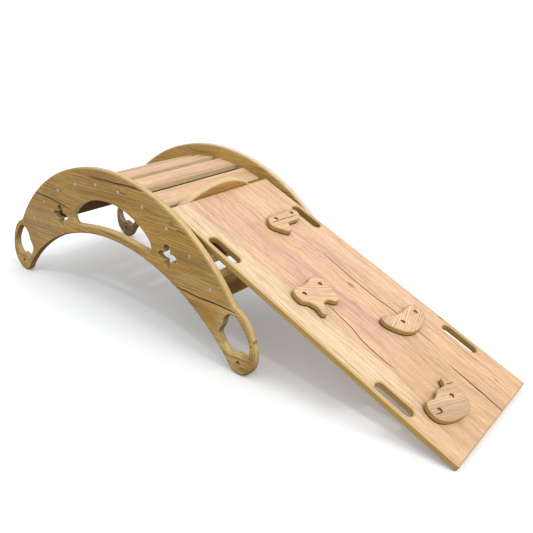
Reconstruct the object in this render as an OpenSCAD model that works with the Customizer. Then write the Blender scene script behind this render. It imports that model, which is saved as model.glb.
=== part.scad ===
// A child's rocker arch with a hook-on climbing ramp, all of oak board.
//
// Two curved side panels are held apart by slats that follow the arch. Turned
// over, the arch rocks on the panels' round edge. As drawn it stands on its four
// feet, and the ramp hangs by its hook board in a gap between two slats and
// rests with its lower edge on the floor.
//
// Millimetres. X runs along the arch and down the ramp, Y across, Z up. The
// origin is on the floor, under the middle of the arch and ramp together.

/* [Arch] */
// Width of the arch, outside to outside of the side panels
arch_w = 424; // [400:2:460]
// Height of the arch
arch_h = 406; // [402:1:412]
// Radius of the panels' outer, rocking edge
arch_r = 516; // [512:1:520]
// Radius of the panels' edge under the arch
under_r = 535; // [530:1:540]
// Clear height under the middle of the arch
under_h = 222; // [216:1:226]
// Thickness of the side panels, the ramp board and the hook board
board_t = 18; // [16:1:19]
// Diameter of the hole in each foot
foot_hole_d = 10; // [6:1:12]
// Middle radius of the flower cut-outs
flower_r = 24.5; // [22:0.5:25]
// How far a flower's four lobes swing in and out
flower_lobe = 8.5; // [5:0.5:9]
// How far the lobes' tips are drawn in, to make them rounder
flower_blunt = 1; // [0:0.25:1.5]

/* [Slats] */
// Width of a slat, along the arch
slat_w = 66; // [62:1:68]
// Thickness of a slat
slat_t = 18; // [14:1:19]
// Turn from one slat to the next, in degrees
slat_step = 11.1; // [11:0.05:11.3]
// How far the slats' tops lie inside the panels' outer edge
slat_inset = 36; // [33:1:38]
// How far the slats' screws and dowels lie below the slats' tops
slat_screw_down = 7; // [7:0.5:9]

/* [Ramp] */
// Length of the ramp board
ramp_l = 854; // [830:2:900]
// Gap between the ramp board and each side panel
ramp_play = 9; // [5:1:12]
// Corner radius of the ramp board
ramp_corner = 6; // [3:1:12]
// Length of a hand slot
hand_slot_l = 96; // [80:2:110]
// Width of a hand slot
hand_slot_w = 27; // [22:1:30]
// Wood left between a hand slot and the ramp's side
hand_slot_rim = 10.5; // [8:0.5:14]
// Middle of the upper hand slots, from the ramp's top end
upper_slot = 176; // [160:1:190]
// Middle of the lower hand slots, from the ramp's top end
lower_slot = 680; // [660:1:700]

/* [Hook board] */
// Height of the hook board's arched top above the ramp
hook_rise = 32; // [28:1:36]
// How far the hook board reaches below the ramp's face
hook_drop = 63; // [58:1:66]
// Radius of the hook board's arched top
hook_r = 208; // [204:1:220]
// Width of the hook board
hook_w = 340; // [330:2:344]
// How far the ramp's top end reaches past the edge of the slat it rests on
hook_lip = 2.1; // [2:0.05:2.4]

/* [Climbing holds] */
// Thickness of a hold
hold_t = 15; // [13:1:18]
// Width of the round recess over a hold screw
recess_d = 11; // [10:0.5:13]
// Depth of the round recess over a hold screw
recess_depth = 4; // [3.5:0.5:5]

/* [Fasteners] */
// Diameter of the screws' shanks
screw_d = 4; // [3.5:0.5:5]
// Diameter of the screws' heads
screw_head_d = 8; // [7:0.5:9]
// Length of the screws in the slats and the hook board
screw_l = 50; // [40:5:60]
// Length of the screws in the holds
hold_screw_l = 26; // [22:1:28]
// Diameter of the dowels beside the slat screws
dowel_d = 8; // [6:1:8]
// Length of the dowels beside the slat screws
dowel_l = 30; // [24:2:36]

/* [Hidden] */
$fn = 64;
slat_count = 10;
SLATS = [for (k = [1 : slat_count]) str("slat_", k)];
HOLDS = ["boot_hold", "bone_hold", "pebble_hold", "leaf_hold"];

// Colours
edge_oak = [0.84, 0.73, 0.47];
panel_oak = [0.66, 0.52, 0.32];
face_oak = [0.93, 0.80, 0.64];
hold_oak = [0.94, 0.84, 0.66];
zinc = [0.78, 0.79, 0.80];
beech = [0.86, 0.72, 0.52];

// Play round screws and dowels, and at the end of a blind hole
play = 0.1;
hole_end = 1;
cut = 1; // how far a cutting tool stands out of what it cuts

// The arch, in its own frame: x from its middle, z from the floor
inner_w = arch_w - 2 * board_t;
arch_drop = arch_r - arch_h;
under_drop = under_r - under_h;
slat_top_r = arch_r - slat_inset;
slat_round = 1.5;

// A foot's outline, from the neck where the outer edge ends, round the toe, to
// just inside the edge under the arch
foot_reach = 501;
toe = [
    [435, 171], [455, 161], [473, 143], [488, 116], [498, 88], [foot_reach, 64],
    [498, 40], [488, 21], [469, 5], [450, 0], [431, 5], [419, 17], [406, 37]
];
foot_root = [[388, 100], [405, 165]]; // inside the arch, to close the outline
arch_end = [[417, 0], [441, 205]]; // inside the foot, where the arch is cut off

// The opening in a foot, round which a hand closes
foot_loop = [
    [425, 150], [441, 149], [457, 134], [470, 116], [481, 95], [482, 72], [469, 53],
    [448, 57], [423, 48], [407, 63], [391, 90], [402, 115], [409, 137]
];
foot_hole = [450, 32];

// Half of the window in the middle of a panel, from its top to its bottom
window_half = [
    [0, 323], [52, 317], [104, 298], [142, 273], [160, 249], [151, 230], [118, 233], [60, 241], [0, 244]
];
flower = [219, 234.5];
flower_lobes = 4;
flower_turn = 6; // degrees from one point of a flower's outline to the next

// The ramp, which rests with its underside on the upper edge of one slat and
// with its lower corner on the floor
rest_slat = 8;
ramp_gap = 0.3;
ramp_w = inner_w - 2 * ramp_play;
slot_y = ramp_w / 2 - hand_slot_rim - hand_slot_w / 2;
rest_turn = slat_turn(rest_slat);
rest_x = slat_top_r * sin(rest_turn) - slat_w / 2 * cos(rest_turn);
rest_z = slat_top_r * cos(rest_turn) + slat_w / 2 * sin(rest_turn) - arch_drop;
ramp_span = ramp_l - hook_lip;
ramp_tilt = asin((rest_z + ramp_gap * cos(asin(rest_z / ramp_span))) / ramp_span);
ramp_top_x = rest_x - hook_lip * cos(ramp_tilt) + (ramp_gap + board_t) * sin(ramp_tilt);
ramp_top_z = rest_z + hook_lip * sin(ramp_tilt) + (ramp_gap + board_t) * cos(ramp_tilt);
ramp_end_x = ramp_top_x + ramp_l * cos(ramp_tilt);
middle_x = (ramp_end_x - foot_reach) / 2;

// The hook board
hook_corner = 8;
hook_screw_ys = [-100, -35, 35, 100];

// The holds' outlines and screw places: x down the ramp from its top end, y
// from its middle line
hold_outlines = [
    [[137, 42], [138, 70], [142, 98], [148, 124], [163, 130], [179, 121], [185, 104], [183, 84],
     [184, 66], [196, 58], [209, 50], [209, 37], [190, 20], [170, 10], [149, 21]],
    [[357, -119], [361, -96], [359, -70], [352, -52], [357, -34], [373, -26], [394, -26], [418, -33],
     [439, -44], [438, -59], [426, -72], [427, -90], [442, -99], [453, -111], [446, -121],
     [426, -117], [408, -123], [393, -136], [369, -133]],
    [[529, 9], [539, 34], [547, 62], [546, 94], [546, 120], [560, 135], [580, 132], [596, 109],
     [605, 78], [604, 46], [591, 22], [566, 5], [543, -1]],
    [[730, -120], [730, -108], [735, -95], [733, -81], [727, -66], [729, -53], [731, -40],
     [724, -32], [716, -26], [729, -14], [744, -11], [759, -18], [776, -20], [794, -29],
     [802, -50], [800, -77], [792, -104], [781, -124], [768, -134], [753, -135], [738, -130]]
];
hold_screw_places = [
    [[157, 44], [158, 108]],
    [[382, -111], [380, -47]],
    [[569, 46], [568, 110]],
    [[758, -111], [756, -49]]
];

// Fasteners
screw_head_h = 3;
screw_rim = 0.5; // height of the straight rim of a countersunk head
screw_tip = 5;
tip_r = 0.5;
drive_w = 1;
drive_span = 4.4;
drive_depth = 1.4;
hold_head_d = 8.6;
hold_head_h = 2.6;
hold_head_form = [[0, 1], [0.55, 1], [0.88, 0.7], [1, 0.25], [1, 0]]; // shares of radius and height
dowel_in_panel = 10;
dowel_off = 20;

curve_steps = 6; // straight pieces between two points of a curved outline
arc_fn = 180; // straight pieces round the large arcs

// Turn of slat k, counted from 1, from the top of the arch
function slat_turn(k) = (k - (slat_count + 1) / 2) * slat_step;

// How far a flower's edge lies from its middle; a lobe's tip is at turn 0, and
// the next one a whole turn further
function flower_reach(turn) = flower_r + flower_lobe * cos(turn) - flower_blunt * cos(2 * turn);

// A point at u, from 0 to 1, on the curve from b to c that also heeds a and d
function blend(a, b, c, d, u) =
    b + u * (c - a) / 2
    + u * u * (2 * a - 5 * b + 4 * c - d) / 2
    + u * u * u * (3 * b - a - 3 * c + d) / 2;

// A smooth closed curve through a ring of points
function ring(p) =
    let (n = len(p))
    [for (i = [0 : n - 1], s = [0 : curve_steps - 1])
        blend(p[(i + n - 1) % n], p[i], p[(i + 1) % n], p[(i + 2) % n], s / curve_steps)];

// A smooth curve through a row of points, which ends at its first and last
function row(p) =
    let (n = len(p))
    concat(
        [for (i = [0 : n - 2], s = [0 : curve_steps - 1])
            blend(p[max(i - 1, 0)], p[i], p[i + 1], p[min(i + 2, n - 1)], s / curve_steps)],
        [p[n - 1]]
    );

// A half outline, from top to bottom, made whole on both sides of x = 0
function both_halves(p) = concat(p, [for (i = [len(p) - 2 : -1 : 1]) [-p[i].x, p[i].y]]);

// ---------------------------------------------------------------- placing

// Carries its children into the arch's frame, at slat k: x along the slat's
// width, z outward, with the origin in the middle of the slat's top
module at_slat(k) {
    translate([-middle_x, 0, -arch_drop])
        rotate([0, slat_turn(k), 0])
            translate([0, 0, slat_top_r]) children();
}

// The same at the screw in one end of the slat, on the panel's outer face, with
// z pointing out
module at_slat_end(k, side) {
    at_slat(k)
        translate([0, side * arch_w / 2, -slat_screw_down])
            rotate([-90 * side, 0, 0]) children();
}

// Carries its children onto the ramp: x down the ramp from its top end, y
// across, z off its face
module on_ramp() {
    translate([ramp_top_x - middle_x, 0, ramp_top_z])
        rotate([0, ramp_tilt, 0]) children();
}

// ---------------------------------------------------------------- fasteners

// Countersunk screw, its head's face at z = 0 and its tip down
module countersunk_screw(length) {
    difference() {
        rotate_extrude() countersunk_profile(length, 0);
        cross_drive(0);
    }
}

module countersunk_profile(length, gap) {
    head_r = screw_head_d / 2 + gap;
    shank_r = screw_d / 2 + gap;
    polygon([
        [0, 0], [head_r, 0], [head_r, -screw_rim], [shank_r, -screw_head_h],
        [shank_r, -length + screw_tip], [tip_r + gap, -length - 2 * gap], [0, -length - 2 * gap]
    ]);
}

// The hole that a countersunk screw fills, open at its head
module countersunk_hole(length) {
    rotate_extrude() countersunk_profile(length, play);
    cylinder(h = cut, r = screw_head_d / 2 + play);
}

// Round-headed screw of a hold, standing on z = 0 with its shank down
module round_screw(length) {
    difference() {
        rotate_extrude()
            polygon(concat(
                [for (p = hold_head_form) [p.x * hold_head_d / 2, p.y * hold_head_h]],
                [[screw_d / 2, 0], [screw_d / 2, -length + screw_tip], [tip_r, -length], [0, -length]]
            ));
        cross_drive(hold_head_h);
    }
}

// The cross in a screw's head, whose face is at height z
module cross_drive(z) {
    for (turn = [0, 90])
        rotate([0, 0, turn])
            translate([-drive_span / 2, -drive_w / 2, z - drive_depth])
                cube([drive_span, drive_w, drive_depth + cut]);
}

// Dowel beside a slat's screw, placed as the screw is
module slat_dowel() {
    translate([dowel_off, 0, dowel_in_panel - board_t - dowel_l])
        cylinder(h = dowel_l, d = dowel_d);
}

// The hole that a dowel fills, closed at both ends
module slat_dowel_hole() {
    translate([dowel_off, 0, dowel_in_panel - board_t - dowel_l - hole_end])
        cylinder(h = dowel_l + 2 * hole_end, d = dowel_d + 2 * play);
}

module panel_screws(side) {
    color(zinc)
        for (k = [1 : slat_count])
            at_slat_end(k, side) countersunk_screw(screw_l);
}

module slat_dowels(side) {
    color(beech)
        for (k = [1 : slat_count])
            at_slat_end(k, side) slat_dowel();
}

// What is bored at one end of slat k, in the slat and in the panel
module slat_end_holes(k, side) {
    at_slat_end(k, side) {
        countersunk_hole(screw_l);
        slat_dowel_hole();
    }
}

// ---------------------------------------------------------------- the arch

// The arched part of a side panel, seen square on
module arch_outline() {
    over = arch_h + cut;
    difference() {
        intersection() {
            translate([0, -arch_drop]) circle(r = arch_r, $fn = arc_fn);
            polygon(both_halves([[0, over], [arch_end[1].x, over], arch_end[1], arch_end[0], [0, 0]]));
        }
        translate([0, -under_drop]) circle(r = under_r, $fn = arc_fn);
    }
}

// A side panel lying flat, without its openings
module panel_blank() {
    linear_extrude(board_t) arch_outline();
    for (side = [0, 1])
        mirror([side, 0, 0]) linear_extrude(board_t) polygon(concat(row(toe), foot_root));
}

// Its window, foot loops and flowers
module panel_openings() {
    polygon(ring(both_halves(window_half)));
    for (side = [0, 1])
        mirror([side, 0]) {
            polygon(ring(foot_loop));
            translate(flower)
                polygon([for (turn = [0 : flower_turn : 360 - flower_turn])
                    flower_reach(flower_lobes * turn) * [cos(turn), sin(turn)]]);
        }
}

// The near panel for side -1, the far panel for side 1
module side_panel(side) {
    color(panel_oak)
        difference() {
            translate([-middle_x, side * (inner_w / 2 + (side + 1) / 2 * board_t), 0])
                rotate([90, 0, 0])
                    difference() {
                        panel_blank();
                        translate([0, 0, -cut]) linear_extrude(board_t + 2 * cut) panel_openings();
                        for (end = [-1, 1])
                            translate([end * foot_hole.x, foot_hole.y, -cut])
                                cylinder(h = board_t + 2 * cut, d = foot_hole_d);
                    }
            for (k = [1 : slat_count]) slat_end_holes(k, side);
        }
}

// A rectangle with round corners, centred
module round_rect(w, h, r) {
    square([w - 2 * r, h], center = true);
    square([w, h - 2 * r], center = true);
    for (x = [-1, 1], y = [-1, 1])
        translate([x * (w / 2 - r), y * (h / 2 - r)]) circle(r = r);
}

module slat(k) {
    color(face_oak)
        difference() {
            at_slat(k)
                rotate([90, 0, 0])
                    translate([0, -slat_t / 2, -inner_w / 2])
                        linear_extrude(inner_w) round_rect(slat_w, slat_t, slat_round);
            for (side = [-1, 1]) slat_end_holes(k, side);
        }
}

// ---------------------------------------------------------------- the ramp

// A hand slot round the origin, its length along x
module hand_slot() {
    straight = hand_slot_l - hand_slot_w;
    square([straight, hand_slot_w], center = true);
    for (end = [-1, 1])
        translate([end * straight / 2, 0]) circle(d = hand_slot_w);
}

module ramp_board() {
    color(face_oak)
        on_ramp()
            difference() {
                translate([0, 0, -board_t])
                    linear_extrude(board_t)
                        difference() {
                            translate([ramp_l / 2, 0]) round_rect(ramp_l, ramp_w, ramp_corner);
                            for (x = [upper_slot, lower_slot], side = [-1, 1])
                                translate([x, side * slot_y]) hand_slot();
                        }
                for (pair = hold_screw_places, place = pair)
                    translate(place) hold_screw_hole();
                hook_screw_holes();
            }
}

// The hook board, which drops into the gap above the slat the ramp rests on
module hook_board() {
    color(edge_oak)
        on_ramp()
            difference() {
                rotate([90, 0, 90])
                    translate([0, 0, -board_t])
                        linear_extrude(board_t)
                            intersection() {
                                translate([0, hook_rise - hook_r]) circle(r = hook_r, $fn = arc_fn);
                                translate([0, -hook_drop + hook_r / 2])
                                    round_rect(hook_w, hook_r, hook_corner);
                            }
                hook_screw_holes();
            }
}

module at_hook_screws() {
    for (y = hook_screw_ys)
        translate([-board_t, y, -board_t / 2])
            rotate([0, -90, 0]) children();
}

module hook_screw_holes() {
    at_hook_screws() countersunk_hole(screw_l);
}

module hook_board_screws() {
    color(zinc) on_ramp() at_hook_screws() countersunk_screw(screw_l);
}

// ---------------------------------------------------------------- the holds

// The hole for a hold's screw, with z = 0 on the ramp's face
module hold_screw_hole() {
    translate([0, 0, hold_t - recess_depth]) {
        translate([0, 0, -hold_screw_l - play])
            cylinder(h = hold_screw_l + cut, d = screw_d + 2 * play);
        cylinder(h = recess_depth + cut, d = recess_d);
    }
}

module hold(i) {
    color(hold_oak)
        on_ramp()
            difference() {
                linear_extrude(hold_t) polygon(ring(hold_outlines[i]));
                for (place = hold_screw_places[i])
                    translate(place) hold_screw_hole();
            }
}

module hold_screws() {
    color(zinc)
        on_ramp()
            for (pair = hold_screw_places, place = pair)
                translate([place.x, place.y, hold_t - recess_depth]) round_screw(hold_screw_l);
}

// ---------------------------------------------------------------- the whole

side_panel(-1);  // near_side_panel
side_panel(1);  // far_side_panel
for (k = [1 : slat_count])
    slat(k);
panel_screws(-1);  // near_panel_screws
panel_screws(1);  // far_panel_screws
slat_dowels(-1);  // near_slat_dowels
slat_dowels(1);  // far_slat_dowels
ramp_board();
hook_board();
hook_board_screws();
for (i = [0 : len(HOLDS) - 1])
    hold(i);
hold_screws();
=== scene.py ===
"""The looks of a child's wooden rocker arch with a hook-on climbing ramp.

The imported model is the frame: it says where each board, slat, hold and screw lies. Every board is
made here again as one closed surface with worked edges, and gets a finish of oiled oak whose grain
follows the board. Screws and dowels keep their own shapes and get a finish only.

Sizes are in millimetres and become metres where a mesh is made. X runs down the ramp, Y to the far
side and Z up.
"""

import logging
import math
from dataclasses import dataclass, field, replace
from enum import Enum
from functools import cache
from typing import Sequence

import bpy
import numpy as np
from mathutils import Matrix
from mathutils.geometry import delaunay_2d_cdt


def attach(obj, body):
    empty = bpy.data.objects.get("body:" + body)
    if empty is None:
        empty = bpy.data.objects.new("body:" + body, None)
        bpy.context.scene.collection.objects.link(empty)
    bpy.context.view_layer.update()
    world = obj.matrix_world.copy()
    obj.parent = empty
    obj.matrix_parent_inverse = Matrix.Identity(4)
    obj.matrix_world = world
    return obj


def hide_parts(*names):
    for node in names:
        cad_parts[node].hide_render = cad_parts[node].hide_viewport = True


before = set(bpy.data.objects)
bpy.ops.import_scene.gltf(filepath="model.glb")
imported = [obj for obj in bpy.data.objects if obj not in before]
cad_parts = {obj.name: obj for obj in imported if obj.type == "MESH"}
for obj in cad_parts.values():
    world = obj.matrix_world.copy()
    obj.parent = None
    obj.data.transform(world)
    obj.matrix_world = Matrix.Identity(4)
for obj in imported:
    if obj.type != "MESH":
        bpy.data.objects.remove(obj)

LOG = logging.getLogger("rocker_arch")

Array = np.ndarray
Colour = tuple[float, float, float]
Point = tuple[float, float]
Piece = bpy.types.Object
Socket = bpy.types.NodeSocket
Value = float | Colour | Socket

MM = 0.001  # metres in a millimetre
GRAIN_UNIT = 0.01  # decimetres in a millimetre; grain counts in these, so its scales are plain numbers
GUARD = 0.3  # width of the flat ring beside each rounding, which keeps its shading off the face
FEWEST = 12  # fewest points that an outline is given
SHARPEST = 0.5  # least share that a corner's bisector is divided by, which keeps sharp corners whole
INSIDE_ONLY = 1  # asks the triangulation for what lies inside the outlines alone
SAME_PLACE = 1e-7  # points of a face closer than this, in millimetres, count as one
SHIFT_WAY = (1.0, 1.7, 2.3)  # direction in which noise patterns are moved apart
MIX_A, MIX_B = 6, 7  # the mixing node's sockets for two colours
HAIR = 1e-5  # half a crack's width at its ends, in decimetres, so that nothing is divided by nought
ENDED = 0.01  # share of its width below which a crack has ended

X_WAY = np.array([1.0, 0.0, 0.0])
Y_WAY = np.array([0.0, 1.0, 0.0])
Z_WAY = np.array([0.0, 0.0, 1.0])


class Body(Enum):
    """The two parts that move apart."""

    ARCH = "arch"
    RAMP = "ramp"


class Slot(Enum):
    """The record's material slots, one for each kind of new board."""

    PANEL = "panel_oak"
    SLAT = "slat_oak"
    RAMP = "ramp_oak"
    HOOK = "hook_oak"
    HOLD = "hold_oak"


# ---------------------------------------------------------------- sizes that boards share


@dataclass(frozen=True)
class Layout:
    """Sizes that several boards share, and the places that follow from them.

    Attributes:
        arch_w: Width over both side panels.
        arch_h: Height of the arch.
        arch_r: Radius of the panels' outer edge.
        under_r: Radius of the edge under the arch.
        under_h: Height of that edge in the middle.
        board_t: Thickness of the panels, the ramp and the hook board.
        foot_reach: How far a toe lies from the arch's middle.
        slat_count: How many slats there are.
        slat_w: Width of a slat.
        slat_t: Thickness of a slat.
        slat_step: Turn from one slat to the next, in degrees.
        slat_inset: How far the slats' tops lie inside the outer edge.
        slat_screw_down: How far the slats' screws lie under their tops.
        rest_slat: The slat that the ramp rests on, counted from the left foot.
        ramp_l: Length of the ramp.
        ramp_play: Gap between the ramp and each side panel.
        ramp_gap: How far the ramp lies clear of the slat.
        hook_lip: How far the ramp's upper end reaches past the edge that it rests on.
    """

    arch_w: float = 424.0
    arch_h: float = 406.0
    arch_r: float = 516.0
    under_r: float = 535.0
    under_h: float = 222.0
    board_t: float = 18.0
    foot_reach: float = 501.0
    slat_count: int = 10
    slat_w: float = 66.0
    slat_t: float = 18.0
    slat_step: float = 11.1
    slat_inset: float = 36.0
    slat_screw_down: float = 7.0
    rest_slat: int = 8
    ramp_l: float = 854.0
    ramp_play: float = 9.0
    ramp_gap: float = 0.3
    hook_lip: float = 2.1

    @property
    def inner_w(self) -> float:
        """Clear width between the side panels."""
        return self.arch_w - 2 * self.board_t

    @property
    def ramp_w(self) -> float:
        """Width of the ramp board."""
        return self.inner_w - 2 * self.ramp_play

    @property
    def arch_drop(self) -> float:
        """How far the centre of the outer edge lies under the floor."""
        return self.arch_r - self.arch_h

    @property
    def under_drop(self) -> float:
        """How far the centre of the edge under the arch lies under the floor."""
        return self.under_r - self.under_h

    @property
    def slat_top_r(self) -> float:
        """Radius on which the slats' tops lie."""
        return self.arch_r - self.slat_inset

    def slat_turn(self, k: int) -> float:
        """Turn of slat k, from 1 at the left foot, from the top of the arch, in radians."""
        return math.radians((k - (self.slat_count + 1) / 2) * self.slat_step)

    @property
    def rest(self) -> Point:
        """The upper edge of the slat that the ramp rests on.

        It is the slat's middle, at the tops' radius, moved back by half the slat's width.

        Returns:
            Its x and z, from the arch's middle on the floor.
        """
        turn, top = self.slat_turn(self.rest_slat), self.slat_top_r
        half = self.slat_w / 2
        return (
            top * math.sin(turn) - half * math.cos(turn),
            top * math.cos(turn) + half * math.sin(turn) - self.arch_drop,
        )

    @property
    def ramp_tilt(self) -> float:
        """Slope of the ramp: its sine is its underside's height at the rest over the length below."""
        span, height = self.ramp_l - self.hook_lip, self.rest[1]
        return math.asin((height + self.ramp_gap * math.cos(math.asin(height / span))) / span)

    @property
    def down(self) -> Array:
        """Direction down the ramp."""
        return np.array([math.cos(self.ramp_tilt), 0.0, -math.sin(self.ramp_tilt)])

    @property
    def face(self) -> Array:
        """Direction straight off the ramp's face."""
        return np.array([math.sin(self.ramp_tilt), 0.0, math.cos(self.ramp_tilt)])

    @property
    def ramp_top(self) -> Array:
        """Middle of the upper end of the ramp's face, from the arch's middle on the floor."""
        rest = np.array([self.rest[0], 0.0, self.rest[1]])
        return rest - self.hook_lip * self.down + (self.ramp_gap + self.board_t) * self.face

    @property
    def middle(self) -> Array:
        """Middle of arch and ramp together, on the floor, from the arch's middle."""
        end = self.ramp_top[0] + self.ramp_l * math.cos(self.ramp_tilt)
        return np.array([(end - self.foot_reach) / 2, 0.0, 0.0])


# ---------------------------------------------------------------- outlines


def wound(loop: Array, left: bool = True) -> Array:
    """A closed outline, turned so that it runs to the left round its inside, or to the right.

    The sign of its area, half the sum of the cross products of neighbours, tells how it runs.

    Args:
        loop: The outline's points, (n, 2).
        left: Whether it is to run to the left, as an outline does, or right, as an opening does.

    Returns:
        The same points in the order that was asked for.
    """
    ahead = np.roll(loop, -1, axis=0)
    area = np.sum(loop[:, 0] * ahead[:, 1] - loop[:, 1] * ahead[:, 0])
    return loop if (area > 0) == left else loop[::-1]


def blend(a: Array, b: Array, c: Array, d: Array, steps: int) -> Array:
    """Points on the smooth curves from each b to each c that also heed a and d.

    With u from 0 to 1 the curve is b + u (c - a) / 2 + u^2 (2a - 5b + 4c - d) / 2
    + u^3 (3b - a - 3c + d) / 2.

    Args:
        a, b, c, d: Four points in a row for each piece of the curve, (n, 2) each.
        steps: Points on each piece.

    Returns:
        The points, (n * steps, 2), without the last c.
    """
    u = (np.arange(steps) / steps)[None, :, None]
    a, b, c, d = (p[:, None, :] for p in (a, b, c, d))
    curve = b + u * (c - a) / 2 + u**2 * (2 * a - 5 * b + 4 * c - d) / 2
    return (curve + u**3 * (3 * b - a - 3 * c + d) / 2).reshape(-1, 2)


def smooth_ring(points: Sequence[Point], steps: int = 10) -> Array:
    """A smooth closed curve through a ring of points."""
    b = np.array(points, float)
    return blend(np.roll(b, 1, 0), b, np.roll(b, -1, 0), np.roll(b, -2, 0), steps)


def smooth_row(points: Sequence[Point], steps: int = 10) -> Array:
    """A smooth curve through a row of points, which ends at its first and last.

    Args:
        points: The points that it goes through.
        steps: Points on each piece of it.

    Returns:
        The curve's points.
    """
    p = np.array(points, float)
    a, d = np.vstack([p[:1], p[:-2]]), np.vstack([p[2:], p[-1:]])
    return np.vstack([blend(a, p[:-1], p[1:], d, steps), p[-1:]])


def even(loop: Array, spacing: float) -> Array:
    """A closed outline's points set again at even distances along it.

    Each new point lies at an equal share of the outline's length, which is the sum of its sides.

    Args:
        loop: The outline's points, (n, 2).
        spacing: Distance between points, about.

    Returns:
        The new points.
    """
    closed = np.vstack([loop, loop[:1]])
    run = np.concatenate([[0.0], np.cumsum(np.linalg.norm(np.diff(closed, axis=0), axis=1))])
    at = np.linspace(0.0, run[-1], max(FEWEST, round(run[-1] / spacing)), endpoint=False)
    return np.column_stack([np.interp(at, run, closed[:, i]) for i in (0, 1)])


def eased(loop: Array, rounds: int) -> Array:
    """A closed outline whose corners are eased.

    Each point moves to the mean of itself, counted twice, and its two neighbours.

    Args:
        loop: The outline's points, (n, 2).
        rounds: How many times the points move.

    Returns:
        The moved points.
    """
    for _ in range(rounds):
        loop = (np.roll(loop, 1, 0) + 2 * loop + np.roll(loop, -1, 0)) / 4
    return loop


def circle(centre: Point, radius: float, count: int = 32) -> Array:
    """A round outline, whose points are the centre plus the radius times (cos a, sin a)."""
    turn = np.linspace(0, 2 * math.pi, count, endpoint=False)
    return np.array(centre) + radius * np.column_stack([np.cos(turn), np.sin(turn)])


def round_rect(width: float, height: float, radius: float, steps: int = 6) -> Array:
    """A rectangle round the origin with round corners.

    Each corner is a quarter circle, with a guard point on the flat at each of its ends.

    Args:
        width: Size along the first direction.
        height: Size along the second.
        radius: Radius of the corners.
        steps: Straight pieces in each corner.

    Returns:
        The outline's points.
    """
    turn = np.linspace(0, math.pi / 2, steps + 1)
    arc = np.column_stack([np.cos(turn), np.sin(turn)]) * radius
    arc = np.vstack([[radius, -GUARD], arc, [-GUARD, radius]])
    corner = np.array([width / 2 - radius, height / 2 - radius])
    quarter_turn = np.array([[0, 1], [-1, 0]])
    quarters = []
    for i, signs in enumerate(((1, 1), (-1, 1), (-1, -1), (1, -1))):
        quarters.append(corner * signs + arc @ np.linalg.matrix_power(quarter_turn, i))
    return np.vstack(quarters)


# ---------------------------------------------------------------- boards


def shown(name: str, data: bpy.types.ID) -> bpy.types.Object:
    """Puts a mesh, a camera or a lamp into the scene as an object.

    Args:
        name: The object's name.
        data: What it shows.

    Returns:
        The object.
    """
    thing = bpy.data.objects.new(name, data)
    bpy.context.scene.collection.objects.link(thing)
    return thing


@dataclass(frozen=True)
class Seat:
    """Where a board lies.

    The board's own sizes run along, across and out; out is the cross product of the first two.

    Attributes:
        origin: The point of its inner face from which its sizes count, in millimetres.
        along: Direction of its outline's first size.
        across: Direction of the second.
    """

    origin: Array
    along: Array
    across: Array

    @property
    def axes(self) -> Array:
        """The three directions, one to a row."""
        return np.array([self.along, self.across, np.cross(self.along, self.across)])

    def place(self, sizes: Array) -> Array:
        """Points given in the board's own sizes, carried to the frame, in metres."""
        return (self.origin + sizes @ self.axes) * MM


@dataclass(frozen=True)
class Grain:
    """How a board's figure lies in it.

    Attributes:
        turn: Turn of the grain from the board's first direction, in degrees.
        lengthwise: True for a bar whose grain runs along its thickness.
        shift: How far the board was cut from the middle of its plank, so that no two match.
    """

    turn: float = 0.0
    lengthwise: bool = False
    shift: tuple[float, float, float] = (0.0, 0.0, 0.0)

    def read(self, sizes: Array) -> Array:
        """Places in the plank: the board's own sizes, turned by the grain's turn and shifted.

        Args:
            sizes: The board's own sizes along, across and out, (n, 3).

        Returns:
            Places along the grain, across it and through the board, in decimetres.
        """
        if self.lengthwise:
            plank = sizes[:, [2, 0, 1]]
        else:
            c, s = math.cos(math.radians(self.turn)), math.sin(math.radians(self.turn))
            plank = sizes @ np.array([[c, -s, 0.0], [s, c, 0.0], [0.0, 0.0, 1.0]])
        return (plank + np.array(self.shift)) * GRAIN_UNIT


@dataclass(frozen=True)
class Cut:
    """One closed line cut in a board: its outline, an opening, or the mouth of a pocket.

    Attributes:
        loop: The points, (n, 2).
        arris: Radius of its rounded edges.
        depth: Depth from the outer face, for a pocket; None where it goes through.
        shade_side: Direction into the wood on the side where its walls get the most painted shade.
        all_round_shade: How much painted shade its walls get all round.
    """

    loop: Array
    arris: float
    depth: float | None = None
    shade_side: Point = (0.0, 1.0)
    all_round_shade: float = 0.25


def screw_seat(place: Point) -> Cut:
    """The shallow round pocket in which the head of a countersunk screw lies."""
    return Cut(circle(place, radius=4.1, count=24), arris=0.15, depth=3.2)


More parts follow.
